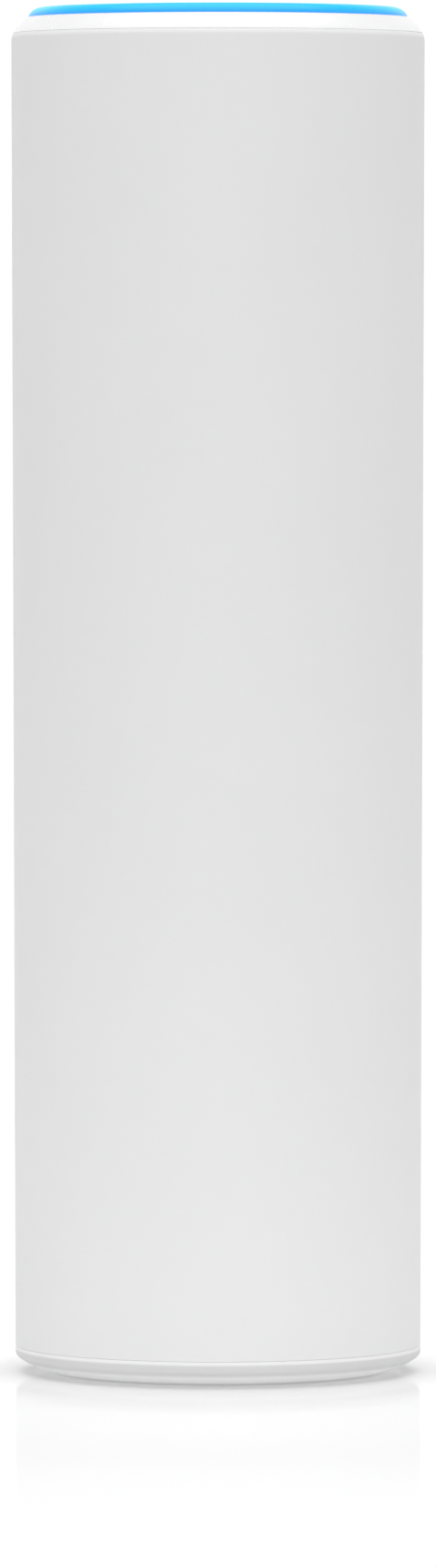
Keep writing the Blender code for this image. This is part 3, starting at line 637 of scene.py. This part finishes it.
def sleeve():
    """The tall tube, with its ledge, its screw bosses and the rounded arch at the back."""
    low, high, edge = SLEEVE_LOW, SLEEVE_HIGH, 0.03
    shoulder = (TOP_RADIUS - SLEEVE_SHOULDER + 0.04, high - edge)
    above = LEDGE_Z[1] + 1.6  # where the ledge's sloping top meets the wall
    profile = [
        *arc((BASE_RADIUS - edge, low + edge), edge, -90, 0, 8),
        *bowed((TOP_RADIUS, high - 0.8), shoulder, 2.2, 10),
        (TOP_RADIUS - SLEEVE_SHOULDER, high),
        (TOP_RADIUS - WALL, high),
        (sleeve_radius(above) - WALL, above),
        (LEDGE_RADIUS, LEDGE_Z[1]),
        (LEDGE_RADIUS, LEDGE_Z[0]),
        (sleeve_radius(LEDGE_Z[0]) - WALL, LEDGE_Z[0]),
        (BASE_RADIUS - WALL, low),
    ]
    within_wall = 22.9
    outline = arc((BOSS_ORBIT, 0), BOSS_RADIUS, 90, 270, 20)
    outline += [(within_wall, -BOSS_RADIUS), (within_wall, BOSS_RADIUS)]
    bosses = [placed(extruded(outline, LEDGE_Z[0] + 0.4, BOSS_TOP), turn(a)) for a in BOSS_ANGLES]
    solid = joined(lathe(profile), *bosses)
    pilots = bars([polar(BOSS_ORBIT, a, 34) for a in BOSS_ANGLES], UP, 8.5, SCREW_PILOT, 24)
    inner, outer, inner_edge, outer_edge = BASE_RADIUS - WALL, BASE_RADIUS + 0.01, 0.25, 0.35
    layers = [(inner - 1.5, inner_edge), *flare(inner, inner_edge, -1)]
    layers += [*flare(outer, outer_edge, 1), (outer + 1.5, outer_edge)]
    solid = cut(solid, pilots, cable_arch(layers))
    piece("sleeve_shell", solid, "shell_white", "sleeve")


def crown():
    """The white shoulder ring, with its seat for the light ring and its skirt inside the sleeve."""
    low, high = box("crown")
    seam, seat_z, groove, groove_radius = SLEEVE_HIGH + HAIRLINE, 157.85, (153.3, 154.7), 21.4
    skirt, skirt_inner, seat_inner, shelf_z = 22.25, 21.0, 20.5, 152.8
    edge = (22.3, high.z - 0.17)
    profile = [(skirt_inner, low.z), (skirt - 0.3, low.z), (skirt, low.z + 0.3), (skirt, groove[0])]
    profile += [(groove_radius, groove[0]), (groove_radius, groove[1]), (skirt, groove[1]), (skirt, seam)]
    lip, start = 0.04, TOP_RADIUS - SLEEVE_SHOULDER
    profile += arc((start - lip, seam + lip), lip, -90, 30, 4)
    profile += bowed((start - 0.01, seam + 0.08), (edge[0] + 0.1, edge[1] - 0.06), 6.2, 16)
    profile += arc((edge[0] + 0.06, edge[1] - 0.06), 0.06, 50, 180, 4)
    profile += [(edge[0], seat_z), (seat_inner, seat_z), (seat_inner, shelf_z), (skirt_inner, shelf_z)]
    piece("crown_shell", lathe(profile), "crown_white", "crown")


def light_ring():
    """The diffuser: a rounded outer corner that stands above the crown, and a flat top."""
    low, high = box("light_ring")
    inner, outer, top, edge, corner = 17.7, high.x, high.z, 0.3, (1.75, 1.84)
    middle = (outer - corner[0] + 0.25, top - corner[1])
    start = math.degrees(math.acos((outer - middle[0]) / corner[0]))
    profile = [(inner, low.z), (outer, low.z)]
    profile += arc(middle, corner, start, 90, 18)
    profile += arc((inner + edge, top - edge), edge, 90, 180, 5)
    piece("light_diffuser", lathe(profile), "light_blue", "light_ring")


def top_disc():
    """The shallow dish in the middle of the ring."""
    low, high = box("top_disc")
    bottom, top, radius, dip, edge = low.z, high.z, high.x, 0.45, 0.3
    dish, hollow = radius - 0.9, bottom + 0.9
    profile = [(0, hollow), (dish - 0.5, hollow), (dish - 0.5, bottom), (radius, bottom)]
    profile += arc((radius - edge, top - edge), edge, 0, 90, 6)
    profile += [(dish * (1 - i / 16), top - dip * (1 - (1 - i / 16) ** 2)) for i in range(17)]
    piece("top_dish", lathe(profile), "disc_white", "top_disc")


def dish_underside(bottom):
    """Points from the flat bottom, along the sweep and round the corner, to the base's upright side."""
    flat_radius, sweep, corner = 18.0, 9.4, 0.9
    reach = BASE_RADIUS - corner - flat_radius
    tilt = math.degrees(math.asin(reach / (sweep - corner)))
    corner_z = bottom + sweep - math.sqrt((sweep - corner) ** 2 - reach**2)
    points = arc((flat_radius, bottom + sweep), sweep, -90, tilt - 90, 16)
    return points + arc((BASE_RADIUS - corner, corner_z), corner, tilt - 90, 0, 12)[1:]


def base():
    """The shallow dish that the node stands on, with its spigot, pad groove, arch and two screw holes."""
    low, high = box("base_cap")
    top, groove, groove_top = SLEEVE_LOW - HAIRLINE, (11.3, 15.0), low.z + 0.9
    spigot, inner, ring_groove, ring_radius = 21.8, 20.0, (11.9, 13.5), 20.95
    lip, edge = (0.06, 0.14), 0.25
    profile = [(0, low.z), (groove[0], low.z), (groove[0], groove_top), (groove[1], groove_top)]
    profile += [(groove[1], low.z)]
    profile += dish_underside(low.z)
    profile += arc((BASE_RADIUS - lip[0], top - lip[1]), lip, 0, 80, 10)
    profile += [(spigot, top), (spigot, ring_groove[0]), (ring_radius, ring_groove[0])]
    profile += [(ring_radius, ring_groove[1]), (spigot, ring_groove[1])]
    profile += arc((spigot - 0.5, high.z - 0.5), 0.5, 0, 90, 6)
    profile += [(inner, high.z), (inner, BASE_FLOOR + 1), *arc((inner - 1, BASE_FLOOR + 1), 1, 0, -90, 6)]
    profile += [(0, BASE_FLOOR)]
    hole = [(0, -1), (2.1, -1), (2.1, 0.9), (4.1, 2.9), (0, 2.9)]
    holes = [placed(lathe(hole, 48), shift(side * 6.8, 0, 0)) for side in SIDES]
    layers = [(inner - 2.5, edge), *flare(inner, edge, -1), (BASE_RADIUS + 3, 0)]
    solid = cut(lathe(profile), *holes, cable_arch(layers))
    piece("base_shell", solid, "base_white", "base_cap", body=BASE)


def foot_pad():
    """The rubber ring underfoot, with two shallow grip grooves."""
    high = box("foot_pad")[1]
    inner, outer, top, edge, deep = 11.5, high.x, high.z, 0.25, 0.12
    profile = [*arc((outer - edge, edge), edge, -90, 0, 4), (outer, top), (inner, top)]
    profile += arc((inner + edge, edge), edge, 180, 270, 4)
    for middle in (12.6, 13.7):
        profile += [(middle - 0.15, 0), (middle - 0.1, deep), (middle + 0.1, deep), (middle + 0.15, 0)]
    piece("foot_ring", lathe(profile), "foot_rubber", "foot_pad", body=BASE)


def seals():
    """Round O-rings in their grooves."""
    for node, body in (("crown_seal", HOUSING), ("bulkhead_seal", HOUSING), ("base_grip_ring", BASE)):
        low, high = box(node)
        half = (high.z - low.z) / 2 * 1.02  # a little more, so that the facets reach the grooves
        orbit, z = high.x - half, (low.z + high.z) / 2
        ring = lathe(arc((orbit, z), half, 0, 345, 23))
        piece(node + "_round", ring, "seal_rubber", node, body=body)


# ---------------------------------------------------------------- inside: fasteners, frame and light

SCREW_HEAD, SCREW_HEAD_HEIGHT, SCREW_SHANK, SCREW_HOLE, SCREW_PILOT = 1.9, 1.2, 0.9, 1.1, 1.0
CONTACT_PITCH = 1.27
LED_SCREW_X = 9.0  # the lamps' board's screws, left and right of the middle
FRAME_FOOT = (14.0, 11.4)
PEG_HEIGHTS = (124.0, 143.0)
LEAD_ORBIT = 13.5  # where the antennas' leads pass the frame's lower flange
ANTENNA_ANGLES = (45, 135, 225, 315)


def centre(node):
    low, high = box(node)
    return (low + high) / 2


def screw_solid(length):
    """A pan-head screw with a thread and a cross recess, along +Z from the underside of its head."""
    rounding, pitch, depth, slot, arm = 0.5, 0.5, 0.13, 0.22, 1.1
    profile = [(0, -SCREW_HEAD_HEIGHT)]
    profile += arc((SCREW_HEAD - rounding, rounding - SCREW_HEAD_HEIGHT), rounding, -90, 0, 5)
    profile += [(SCREW_HEAD, -0.1), (SCREW_HEAD - 0.1, 0), (SCREW_SHANK, 0)]
    for i in range(int((length - 1.2) / pitch)):
        profile += [(SCREW_SHANK - depth, 0.4 + i * pitch), (SCREW_SHANK, 0.4 + (i + 0.5) * pitch)]
    profile += [(SCREW_SHANK - depth, length - 0.4), (0, length)]
    low, high = -SCREW_HEAD_HEIGHT - 0.1, 0.65 - SCREW_HEAD_HEIGHT
    slots = [block((-x, -y, low), (x, y, high)) for x, y in ((arm, slot), (slot, arm))]
    return cut(lathe(profile, 40), joined(*slots))


def screws():
    """Every screw: the heatsink's go in from behind the board, the others upwards."""
    for node in sorted(name for name in frame["nodes"] if "_screw_" in name):
        low, high = box(node)
        middle = (low + high) / 2
        if node.startswith("heatsink"):
            length = high.y - low.y - SCREW_HEAD_HEIGHT
            place = shift(middle.x, high.y - SCREW_HEAD_HEIGHT, middle.z) @ turn(90, "X")
        else:
            length = high.z - low.z - SCREW_HEAD_HEIGHT
            place = shift(middle.x, middle.y, low.z + SCREW_HEAD_HEIGHT)
        solid = placed(screw_solid(length), place)
        piece(node + "_cross_head", solid, "plated_screw", node)


def bulkhead():
    """The plate above the cable bay, with the socket's window, the screws' bores and the button's hole."""
    low, high = box("bulkhead")
    radius, seal_radius, seal_z, bore, bore_top = high.x, 20.6, (32.8, 34.2), 2.3, 32.4
    edge_low, edge_high, shaft_radius, button_radius = 0.6, 0.3, 1.35, 2.4
    profile = [(0, low.z), *arc((radius - edge_low, low.z + edge_low), edge_low, -90, 0, 6)]
    profile += [(radius, seal_z[0]), (seal_radius, seal_z[0]), (seal_radius, seal_z[1]), (radius, seal_z[1])]
    profile += [*arc((radius - edge_high, high.z - edge_high), edge_high, 0, 90, 4), (0, high.z)]
    gap = Vector((0.2, 0.2, 5.0))
    jack_low, jack_high = box("ethernet_jack")
    window = block(jack_low - gap, jack_high + gap)
    nodes = [name for name in frame["nodes"] if name.startswith(("bulkhead_screw_", "frame_screw_"))]
    places = [(centre(name).x, centre(name).y, low.z - 1) for name in sorted(nodes)]
    bores = bars(places, UP, bore_top - low.z + 1, bore)
    holes = bars(places, UP, high.z - low.z + 2, SCREW_HOLE, 24)
    button = centre("reset_button")
    shaft = bars([(button.x, button.y, low.z - 1)], UP, high.z - low.z + 2, shaft_radius)
    funnel = lathe([(0, -1), (button_radius, -1), (shaft_radius, 0.35), (0, 0.35)], 48)
    funnel = placed(funnel, shift(button.x, button.y, low.z))
    solid = cut(lathe(profile), window, bores, holes, shaft, funnel)
    piece("bulkhead_plate", solid, "frame_grey", "bulkhead")


def ethernet_jack():
    """The folded steel shell with its grounding springs, and eight sprung contact wires."""
    low, high = box("ethernet_jack")
    socket_x, socket_y, socket_top, latch_x, latch_y = 5.95, (-4.3, 5.4), 43.6, 3.1, -6.0
    main = block((-socket_x, socket_y[0], low.z - 2), (socket_x, socket_y[1], socket_top))
    latch = block((-latch_x, latch_y, low.z - 2), (latch_x, socket_y[0] + 1, socket_top - 2))
    solid = cut(block(low, high, 0.35, 3), main, latch)
    for side in SIDES:
        face = side * high.x
        near, far = sorted((face, face - side * 0.2))
        slot = block((near, -2.6, 33.5), (far, 2.8, 42.5))
        near, far = sorted((face, face - side * 0.5))
        leaf = block((near, -1.6, 33.6), (far, 1.8, 41.2), 0.1)
        solid = joined(cut(solid, slot), leaf)
    piece("jack_shell", solid, "tinned_steel", "ethernet_jack")
    wires = []
    for number in range(8):
        x = (number - 3.5) * CONTACT_PITCH
        bends = ((2.35, 43.2), (2.25, 41.5), (0.6, 37.4), (0.2, 36.2), (0.9, 35.0), (2.3, 33.4))
        wires.append(tube(smooth([(x, y, z) for y, z in bends], 5), 0.2, 10))
    piece("jack_contact_wires", together(*wires), "gold")


def reset_parts():
    """The recessed button, the switch's stem, and the switch with its four legs."""
    low, high = box("reset_button")
    middle, shaft, edge, collar_low = centre("reset_button"), 1.15, 0.35, high.z - 0.8
    profile = [(0, low.z), *arc((shaft - edge, low.z + edge), edge, -90, 0, 6)]
    profile += [(shaft, collar_low), *rim(1.9, collar_low, high.z, 0.1, 3), (0, high.z)]
    at = shift(middle.x, middle.y, 0)
    piece("reset_button_moulded", placed(lathe(profile, 48), at), "button_grey", "reset_button", body=RESET)
    low, high = box("reset_stem")
    profile = [(0, low.z), *rim(0.75, low.z, high.z, 0.15), (0, high.z)]
    piece("reset_stem_moulded", placed(lathe(profile, 40), at), "button_grey", "reset_stem", body=RESET)
    low, high = box("reset_switch")
    well = bars([(middle.x, middle.y, low.z - 1)], UP, 4.1, 0.95)
    piece("reset_switch_body", cut(block(low, high, 0.25, 3), well), "chip_black", "reset_switch")
    legs = []
    for side in SIDES:
        for z in (low.z + 0.7, high.z - 1.2):
            x = (low.x if side < 0 else high.x) + side * 0.18
            legs.append(block((x - 0.2, high.y - 0.9, z), (x + 0.2, high.y + 0.08, z + 0.5), 0.08))
    piece("reset_switch_legs", together(*legs), "tinned_steel")


def light_parts():
    """The clear guide, the white baffle, the lamps' round board, the lamps and their resistors."""
    low, high = box("light_guide")
    inner, outer, edge = 17.9, high.x, 0.25
    profile = rim(outer, low.z, high.z, edge)
    profile += arc((inner + edge, high.z - edge), edge, 90, 180, 4)
    profile += arc((inner + edge, low.z + edge), edge, 180, 270, 4)
    piece("light_guide_ring", lathe(profile), "clear_guide", "light_guide")
    low, high = box("led_baffle")
    inner, outer, floor_z, edge, edge_inner, resistor_orbit = 16.2, high.x, 155.6, 0.3, 0.5, 13.5
    profile = [(0, floor_z)]
    profile += arc((inner - edge_inner, floor_z - edge_inner), edge_inner, 90, 0, 5)
    profile += [(inner, low.z), (outer, low.z)]
    profile += [*arc((outer - edge, high.z - edge), edge, 0, 90, 4), (0, high.z)]
    places = [(side * LED_SCREW_X, 0, low.z + 0.05) for side in SIDES]
    posts = bars(places, UP, floor_z - low.z + 0.5, 2.2)
    pilots = bars([(x, y, z - 1) for x, y, z in places], UP, 3.6, SCREW_PILOT, 24)
    piece("led_baffle_dish", cut(joined(lathe(profile), posts), pilots), "reflector_white", "led_baffle")
    low, high = box("led_board")
    disc = lathe([(0, low.z), (high.x, low.z), (high.x, high.z), (0, high.z)])
    disc = cut(disc, bars([(x, y, low.z - 1) for x, y, _ in places], UP, 4.0, SCREW_HOLE, 24))
    piece("led_board_disc", disc, "circuit_board", "led_board")
    bodies, ends = [], []
    for number in range(1, 9):
        angle = (number - 0.5) * 45
        place = shift(*polar(centre(f"led_{number}").xy.length, angle, high.z + 0.05)) @ turn(angle)
        well = lathe([(0, 0.75), (0.62, 0.75), (0.8, 1.2), (0, 1.2)], 32)
        lamp = placed(cut(block((-1, -1.4, 0), (1, 1.4, 1.0), 0.12), well), place)
        piece(f"led_{number}_package", lamp, "led_cream", f"led_{number}")
        place = shift(*polar(resistor_orbit, angle, high.z)) @ turn(angle)
        add_small_part(bodies, ends, (1.6, 0.8, 0.5), place)
    piece("led_resistors", together(*bodies), "chip_black")
    piece("led_resistor_ends", together(*ends), "tinned_steel")


def add_small_part(bodies, ends, size, place):
    """Adds a chip resistor or capacitor, made lying along X and then put in its place."""
    length, width, height = size
    half, end, lip = length / 2, length * 0.22, 0.02
    body = block((-half + end, -width / 2, 0.02), (half - end, width / 2, height), 0.03, 1)
    caps = [
        block((low, -width / 2 - lip, 0), (low + end, width / 2 + lip, height + lip), 0.04, 1)
        for low in (-half, half - end)
    ]
    bodies.append(placed(body, place))
    ends.append(placed(together(*caps), place))


def inner_frame():
    """Two rails for the board, then a spool whose four fins carry the antennas."""
    low, high = box("inner_frame")
    radius, hub, reach, edge, fillet, half_fin = high.x, (4.0, 5.6), 17.5, 0.25, 0.6, 0.8
    lower, upper = (116.4, 118.4), (149.6, high.z)
    profile = [(0, lower[0]), *rim(radius, *lower, edge, 3), (hub[1] + fillet, lower[1])]
    profile += arc((hub[1] + fillet, lower[1] + fillet), fillet, -90, -180, 4)
    profile += arc((hub[1] + fillet, upper[0] - fillet), fillet, 180, 90, 4)
    profile += [*rim(radius, *upper, edge, 3), (0, upper[1])]
    extras = []
    for side in SIDES:
        rail = [(14.2, 5.0), (16.4, 5.0), (16.6, 5.2), (16.6, 10.2), (16.4, 10.4), (14.2, 10.4)]
        rail += [(14.2, 8.75), (15.8, 8.75), (15.8, 6.85), (14.2, 6.85)]
        extras.append(extruded([(side * x, y) for x, y in rail], low.z, lower[0] + 1))
    feet = [(side * FRAME_FOOT[0], FRAME_FOOT[1], low.z + 0.3) for side in SIDES]
    extras.append(bars(feet, UP, 7.0, 2.3))
    for angle in ANTENNA_ANGLES:
        fin = block((hub[0] + 0.8, -half_fin, lower[1] - 1), (reach, half_fin, upper[0] + 0.8))
        pegs = bars([(reach - 0.9, 0, z) for z in PEG_HEIGHTS], RIGHT, 2.5, 0.76, 24)
        extras += [placed(fin, turn(angle)), placed(pegs, turn(angle))]
    bore = bars([(0, 0, lower[0] - 1)], UP, upper[1] - lower[0] + 2, hub[0], 48)
    pilots = bars([(x, y, 34) for x, y, _ in feet], UP, 7.0, SCREW_PILOT, 24)
    leads = [polar(LEAD_ORBIT, lead_angle(a), lower[0] - 1) for a in ANTENNA_ANGLES]
    lead_holes = bars(leads, UP, 4.0, 1.3, 24)
    head_holes = bars([(side * LED_SCREW_X, 0, upper[0] - 1) for side in SIDES], UP, 4.0, 2.4)
    solid = cut(joined(lathe(profile, MEDIUM), *extras), bore, pilots, lead_holes, head_holes)
    piece("inner_frame_moulded", solid, "frame_grey", "inner_frame")


# ---------------------------------------------------------------- inside: boards, antennas and leads


def lead_angle(antenna_angle):
    """Angle of the lead's hole: beside the fin, on its side nearer the board's middle."""
    same = (antenna_angle < 180) == (antenna_angle in (45, 315))
    return antenna_angle + (14 if same else -14)


def smooth(route, steps):
    """Points on a smooth curve through the route's own points (a Catmull-Rom spline)."""
    knots = [Vector(point) for point in route]
    knots = [knots[0] * 2 - knots[1], *knots, knots[-1] * 2 - knots[-2]]
    found = []
    for a, b, c, d in zip(knots, knots[1:], knots[2:], knots[3:]):
        for i in range(steps):
            t = i / steps
            bend = (a * 2 - b * 5 + c * 4 - d) * t**2 + (b * 3 - a - c * 3 + d) * t**3
            found.append((b * 2 + (c - a) * t + bend) / 2)
    return found + [knots[-2]]


def tube(route, radius, steps=12):
    """A round bar along a route, in millimetres, with flat ends."""
    bm = bmesh.new()
    rings, side = [], (route[1] - route[0]).orthogonal()
    for i, point in enumerate(route):
        along = (route[min(i + 1, len(route) - 1)] - route[max(i - 1, 0)]).normalized()
        side = (side - along * side.dot(along)).normalized()
        up = along.cross(side)
        turns = [math.tau * k / steps for k in range(steps)]
        circle = [point + (side * math.cos(a) + up * math.sin(a)) * radius for a in turns]
        rings.append([bm.verts.new(corner * MM) for corner in circle])
    for first, second in zip(rings, rings[1:]):
        for k in range(steps):
            bm.faces.new((first[k - 1], first[k], second[k], second[k - 1]))
    bm.faces.new(rings[0])
    bm.faces.new(rings[-1])
    return bm


def antennas():
    """Four strips with copper meanders, and the thin coax that feeds each one."""
    half, inner, outer, low_z, high_z = 4.5, 17.65, 18.45, 120.0, 147.0
    start, first_z, pitch, width, reach = outer - 0.02, 126.0, 2.2, 0.7, 3.4
    end = outer + 0.05
    for number, angle in enumerate(ANTENNA_ANGLES, 1):
        name = f"antenna_{number}"
        holes = bars([(16, 0, z) for z in PEG_HEIGHTS], RIGHT, 4.0, 1.05, 24)
        strip = cut(block((inner, -half, low_z), (outer, half, high_z), 0.12), holes)
        piece(name + "_strip", placed(strip, turn(angle)), "antenna_board", name)
        lines = [block((start, -0.3, low_z + 0.6), (end, 0.3, low_z + 2.4))]
        for row in range(7):
            z = first_z + row * pitch
            lines.append(block((start, -reach, z), (end, reach, z + width)))
            side = reach - width if row % 2 else -reach
            if row < 6:
                lines.append(block((start, side, z + 0.6), (end, side + width, z + 2.3)))
        piece(name + "_trace", placed(together(*lines), turn(angle)), "gold")
        antenna_lead(number, angle)


def antenna_lead(number, angle):
    """Coax from its plug on the board, through the flange, to the foot of the antenna."""
    side = 1 if angle in (45, 315) else -1
    back = angle < 180
    turned = lead_angle(angle)
    hole_x, hole_y, _ = polar(LEAD_ORBIT, turned)
    if back:
        route = [(side * 8.5, 9.7, 108.6), (side * 8.7, 10.2, 111.0)]
    else:
        route = [(side * 8.5, 5.9, 110.0), (side * 8.7, 3.4, 111.2), (side * 9.0, -1.0, 112.0)]
    plug_x, _, plug_z = route[0]
    through_flange = ((0.97, 114.4), (1, 117.4), (1.05, 120.2))
    route += [(hole_x * scale, hole_y * scale, z) for scale, z in through_flange]
    route.append(polar(16.55, angle + (turned - angle) * 0.55, 122.6))
    name = f"antenna_lead_{number}"
    piece(name + "_coax", tube(smooth(route, 8), 0.57, 16), "lead_black", name)
    board_low, board_high = box("main_board")
    face, out = (board_high.y, 1) if back else (board_low.y, -1)
    profile = [(0, 0), (1.15, 0), (1.15, 0.5), (0.95, 0.6), (0.95, 1.5), (0.8, 1.65), (0, 1.65)]
    plug = placed(lathe(profile, 32), shift(plug_x, face, plug_z) @ turn(-90 * out, "X"))
    piece(name + "_plug", plug, "gold")


def ribbon():
    """Ten fine wires side by side, from the lamps' board to the main board, and their sockets."""
    low, high = box("led_ribbon")
    reach, bend_top, bend_low, pitch = 6.45, 119.5, 111.5, 0.48
    line = [(0.0, high.z)]
    for i in range(17):
        t = i / 16
        line.append((reach * t * t * (3 - 2 * t), bend_top + (bend_low - bend_top) * t))
    line.append((reach, low.z))
    wires = [tube([Vector(((k - 4.5) * pitch, y, z)) for y, z in line], 0.26, 10) for k in range(10)]
    piece("led_ribbon_wires", together(*wires), "lead_black", "led_ribbon")
    on_main_board = block((-3.2, 5.95, 107.4), (3.2, 6.98, 109.9), 0.15)
    on_led_board = block((-3.2, -0.9, 150.2), (3.2, 0.9, 151.33), 0.15)
    piece("ribbon_sockets", together(on_main_board, on_led_board), "reflector_white")


def heatsink():
    """The extruded comb, with rounded fin tips that follow the sleeve, and its four posts."""
    low, high = box("heatsink")
    front, back, half, edge, fillet, sunk = 1.6, 4.0, high.x, 0.3, 0.4, 0.8
    pitch, radius, reach = 4.2, 0.65, 19.0
    outline = [(half, front), (half, back - edge), (half - edge, back)]
    outline += [(edge - half, back), (-half, back - edge), (-half, front)]
    for number in range(-3, 4):
        x = number * pitch
        tip = radius - math.sqrt(reach**2 - (abs(x) + radius) ** 2)
        outline += [(x - radius - fillet, front), (x - radius, front - fillet)]
        outline += arc((x, tip), radius, 180, 360, 6)
        outline += [(x + radius, front - fillet), (x + radius + fillet, front)]
    board_front = box("main_board")[0].y
    screw_nodes = sorted(name for name in frame["nodes"] if name.startswith("heatsink_screw_"))
    places = [(centre(name).x, back - sunk, centre(name).z) for name in screw_nodes]
    posts = bars(places, BACK, board_front - 0.1 - back + sunk, 2.0)
    pilots = bars([(x, board_front + 1, z) for x, _, z in places], (0, -1, 0), 5.0, SCREW_PILOT, 24)
    solid = cut(joined(extruded(outline, low.z, high.z), posts), pilots)
    piece("heatsink_comb", solid, "heatsink_alloy", "heatsink")


def chips():
    """Moulded chips with a dimple at their first corner, soft pads, and vented shield cans."""
    for node, edge in (("cpu_chip", 0.25), ("memory_chip", 0.2)):
        low, high = box(node)
        dimple = bars([(low.x + 1.2, low.y - 1, high.z - 1.2)], BACK, 1.12, 0.4, 24)
        piece(node + "_package", cut(block(low, high, edge), dimple), "chip_black", node)
    for node in ("cpu_thermal_pad", "radio_thermal_pad"):
        low, high = box(node)
        piece(node + "_soft", block(low, high, (high.y - low.y) * 0.4, 4), "thermal_pad", node)
    for node in ("radio_shield_high", "radio_shield_low"):
        low, high = box(node)
        across = [low.x + 2.0 + i * 1.78 for i in range(6)]
        down = [high.z - 2.0 - j * 1.92 for j in range(7)]
        vents = bars([(x, low.y - 1, z) for x in across for z in down], BACK, 1.15, 0.42, 16)
        piece(node + "_can", cut(block(low, high, 0.35, 3), vents), "can_alloy", node)


def power_parts():
    """Transformers and inductor with their legs, and two electrolytic cans with scored tops."""
    parts = (("lan_transformer", 0.5, 12), ("poe_transformer", 0.9, 5), ("power_inductor", 0.8, 2))
    legs, inset = [], 1.2
    for node, edge, count in parts:
        low, high = box(node)
        solid = block(low, high, edge, 3)
        grooves = [
            block((x - 0.25, low.y + 2.0, low.z - 1), (x + 0.25, low.y + 2.5, high.z + 1))
            for x in (low.x, high.x)
        ]
        piece(node + "_body", cut(solid, *grooves), "chip_black", node)
        pitch = (high.x - low.x - 2 * inset) / (count - 1)
        for k in range(count):
            x = low.x + inset + k * pitch
            for z in (low.z, high.z):
                legs.append(block((x - 0.25, low.y - 0.08, z - 0.6), (x + 0.25, low.y + 0.9, z + 0.6), 0.1))
    piece("power_part_legs", together(*legs), "tinned_steel")
    for node in ("bulk_capacitor_1", "bulk_capacitor_2"):
        low, high = box(node)
        radius, height, middle = (high.x - low.x) / 2, high.y - low.y, (low + high) / 2
        profile = [(0, 0), *arc((radius - 0.3, 0.3), 0.3, -90, 0, 4), (radius, height - 1.6)]
        profile += [(radius - 0.35, height - 1.3), (radius - 0.35, height - 1.0), (radius, height - 0.7)]
        profile += [*arc((radius - 0.4, height - 0.4), 0.4, 0, 90, 5), (0, height)]
        score = [
            placed(block((-0.12, 0, height - 0.12), (0.12, radius - 1.0, height + 1)), turn(a))
            for a in (0, 120, 240)
        ]
        can = cut(lathe(profile, 64), joined(*score))
        place = shift(middle.x, low.y, middle.z) @ turn(-90, "X")
        piece(node + "_can", placed(can, place), "can_alloy", node)


def board_details():
    """Rows of small parts in the board's free areas, and the socket's soldered pins."""
    rng = random.Random(5)
    low, high = box("main_board")
    sizes, row_pitch, share = ((1.0, 0.5, 0.35), (1.6, 0.8, 0.45), (2.0, 1.25, 0.5)), 1.9, 0.62
    front = [((-13, 13), (49.5, 57)), ((-13, -8.4), (66, 78))]
    front += [((-13, 13), (105.2, 107)), ((11, 13.5), (109, 114))]
    back = [((-11, 11), (39, 50)), ((-13, -8), (70, 86)), ((8, 13), (70, 86)), ((-6, 6), (84.6, 88))]
    bodies, ends = [], []
    for y, turned, areas in ((low.y, 90, front), (high.y, -90, back)):
        for (x_low, x_high), (z_low, z_high) in areas:
            for row in range(int((z_high - z_low) / row_pitch)):
                x = x_low + 1.0
                while x < x_high - 0.9:
                    size = rng.choice(sizes)
                    if rng.random() < share:
                        place = shift(x, y, z_low + 0.9 + row * row_pitch) @ turn(turned, "X")
                        add_small_part(bodies, ends, size, place)
                    x += size[0] + 0.8 + rng.random() * 0.6
    pins = [((k - 3.5) * CONTACT_PITCH, high.y - 0.1, 44.8 + 1.6 * (k % 2)) for k in range(8)]
    ends.append(bars(pins, BACK, 0.9, 0.35, 12))
    piece("board_small_parts", together(*bodies), "chip_black")
    piece("board_solder_ends", together(*ends), "tinned_steel")


def build():
    """The materials, and then every piece in turn."""
    LOOKS.update(make_looks())
    dress_cad_nodes()
    shells = (sleeve, crown, light_ring, top_disc, base, foot_pad, seals)
    inside = (screws, bulkhead, ethernet_jack, reset_parts, light_parts, inner_frame, antennas, ribbon)
    on_board = (heatsink, chips, power_parts, board_details)
    for make in (*shells, *inside, *on_board):
        make()


camera()
studio()
floor()
build()
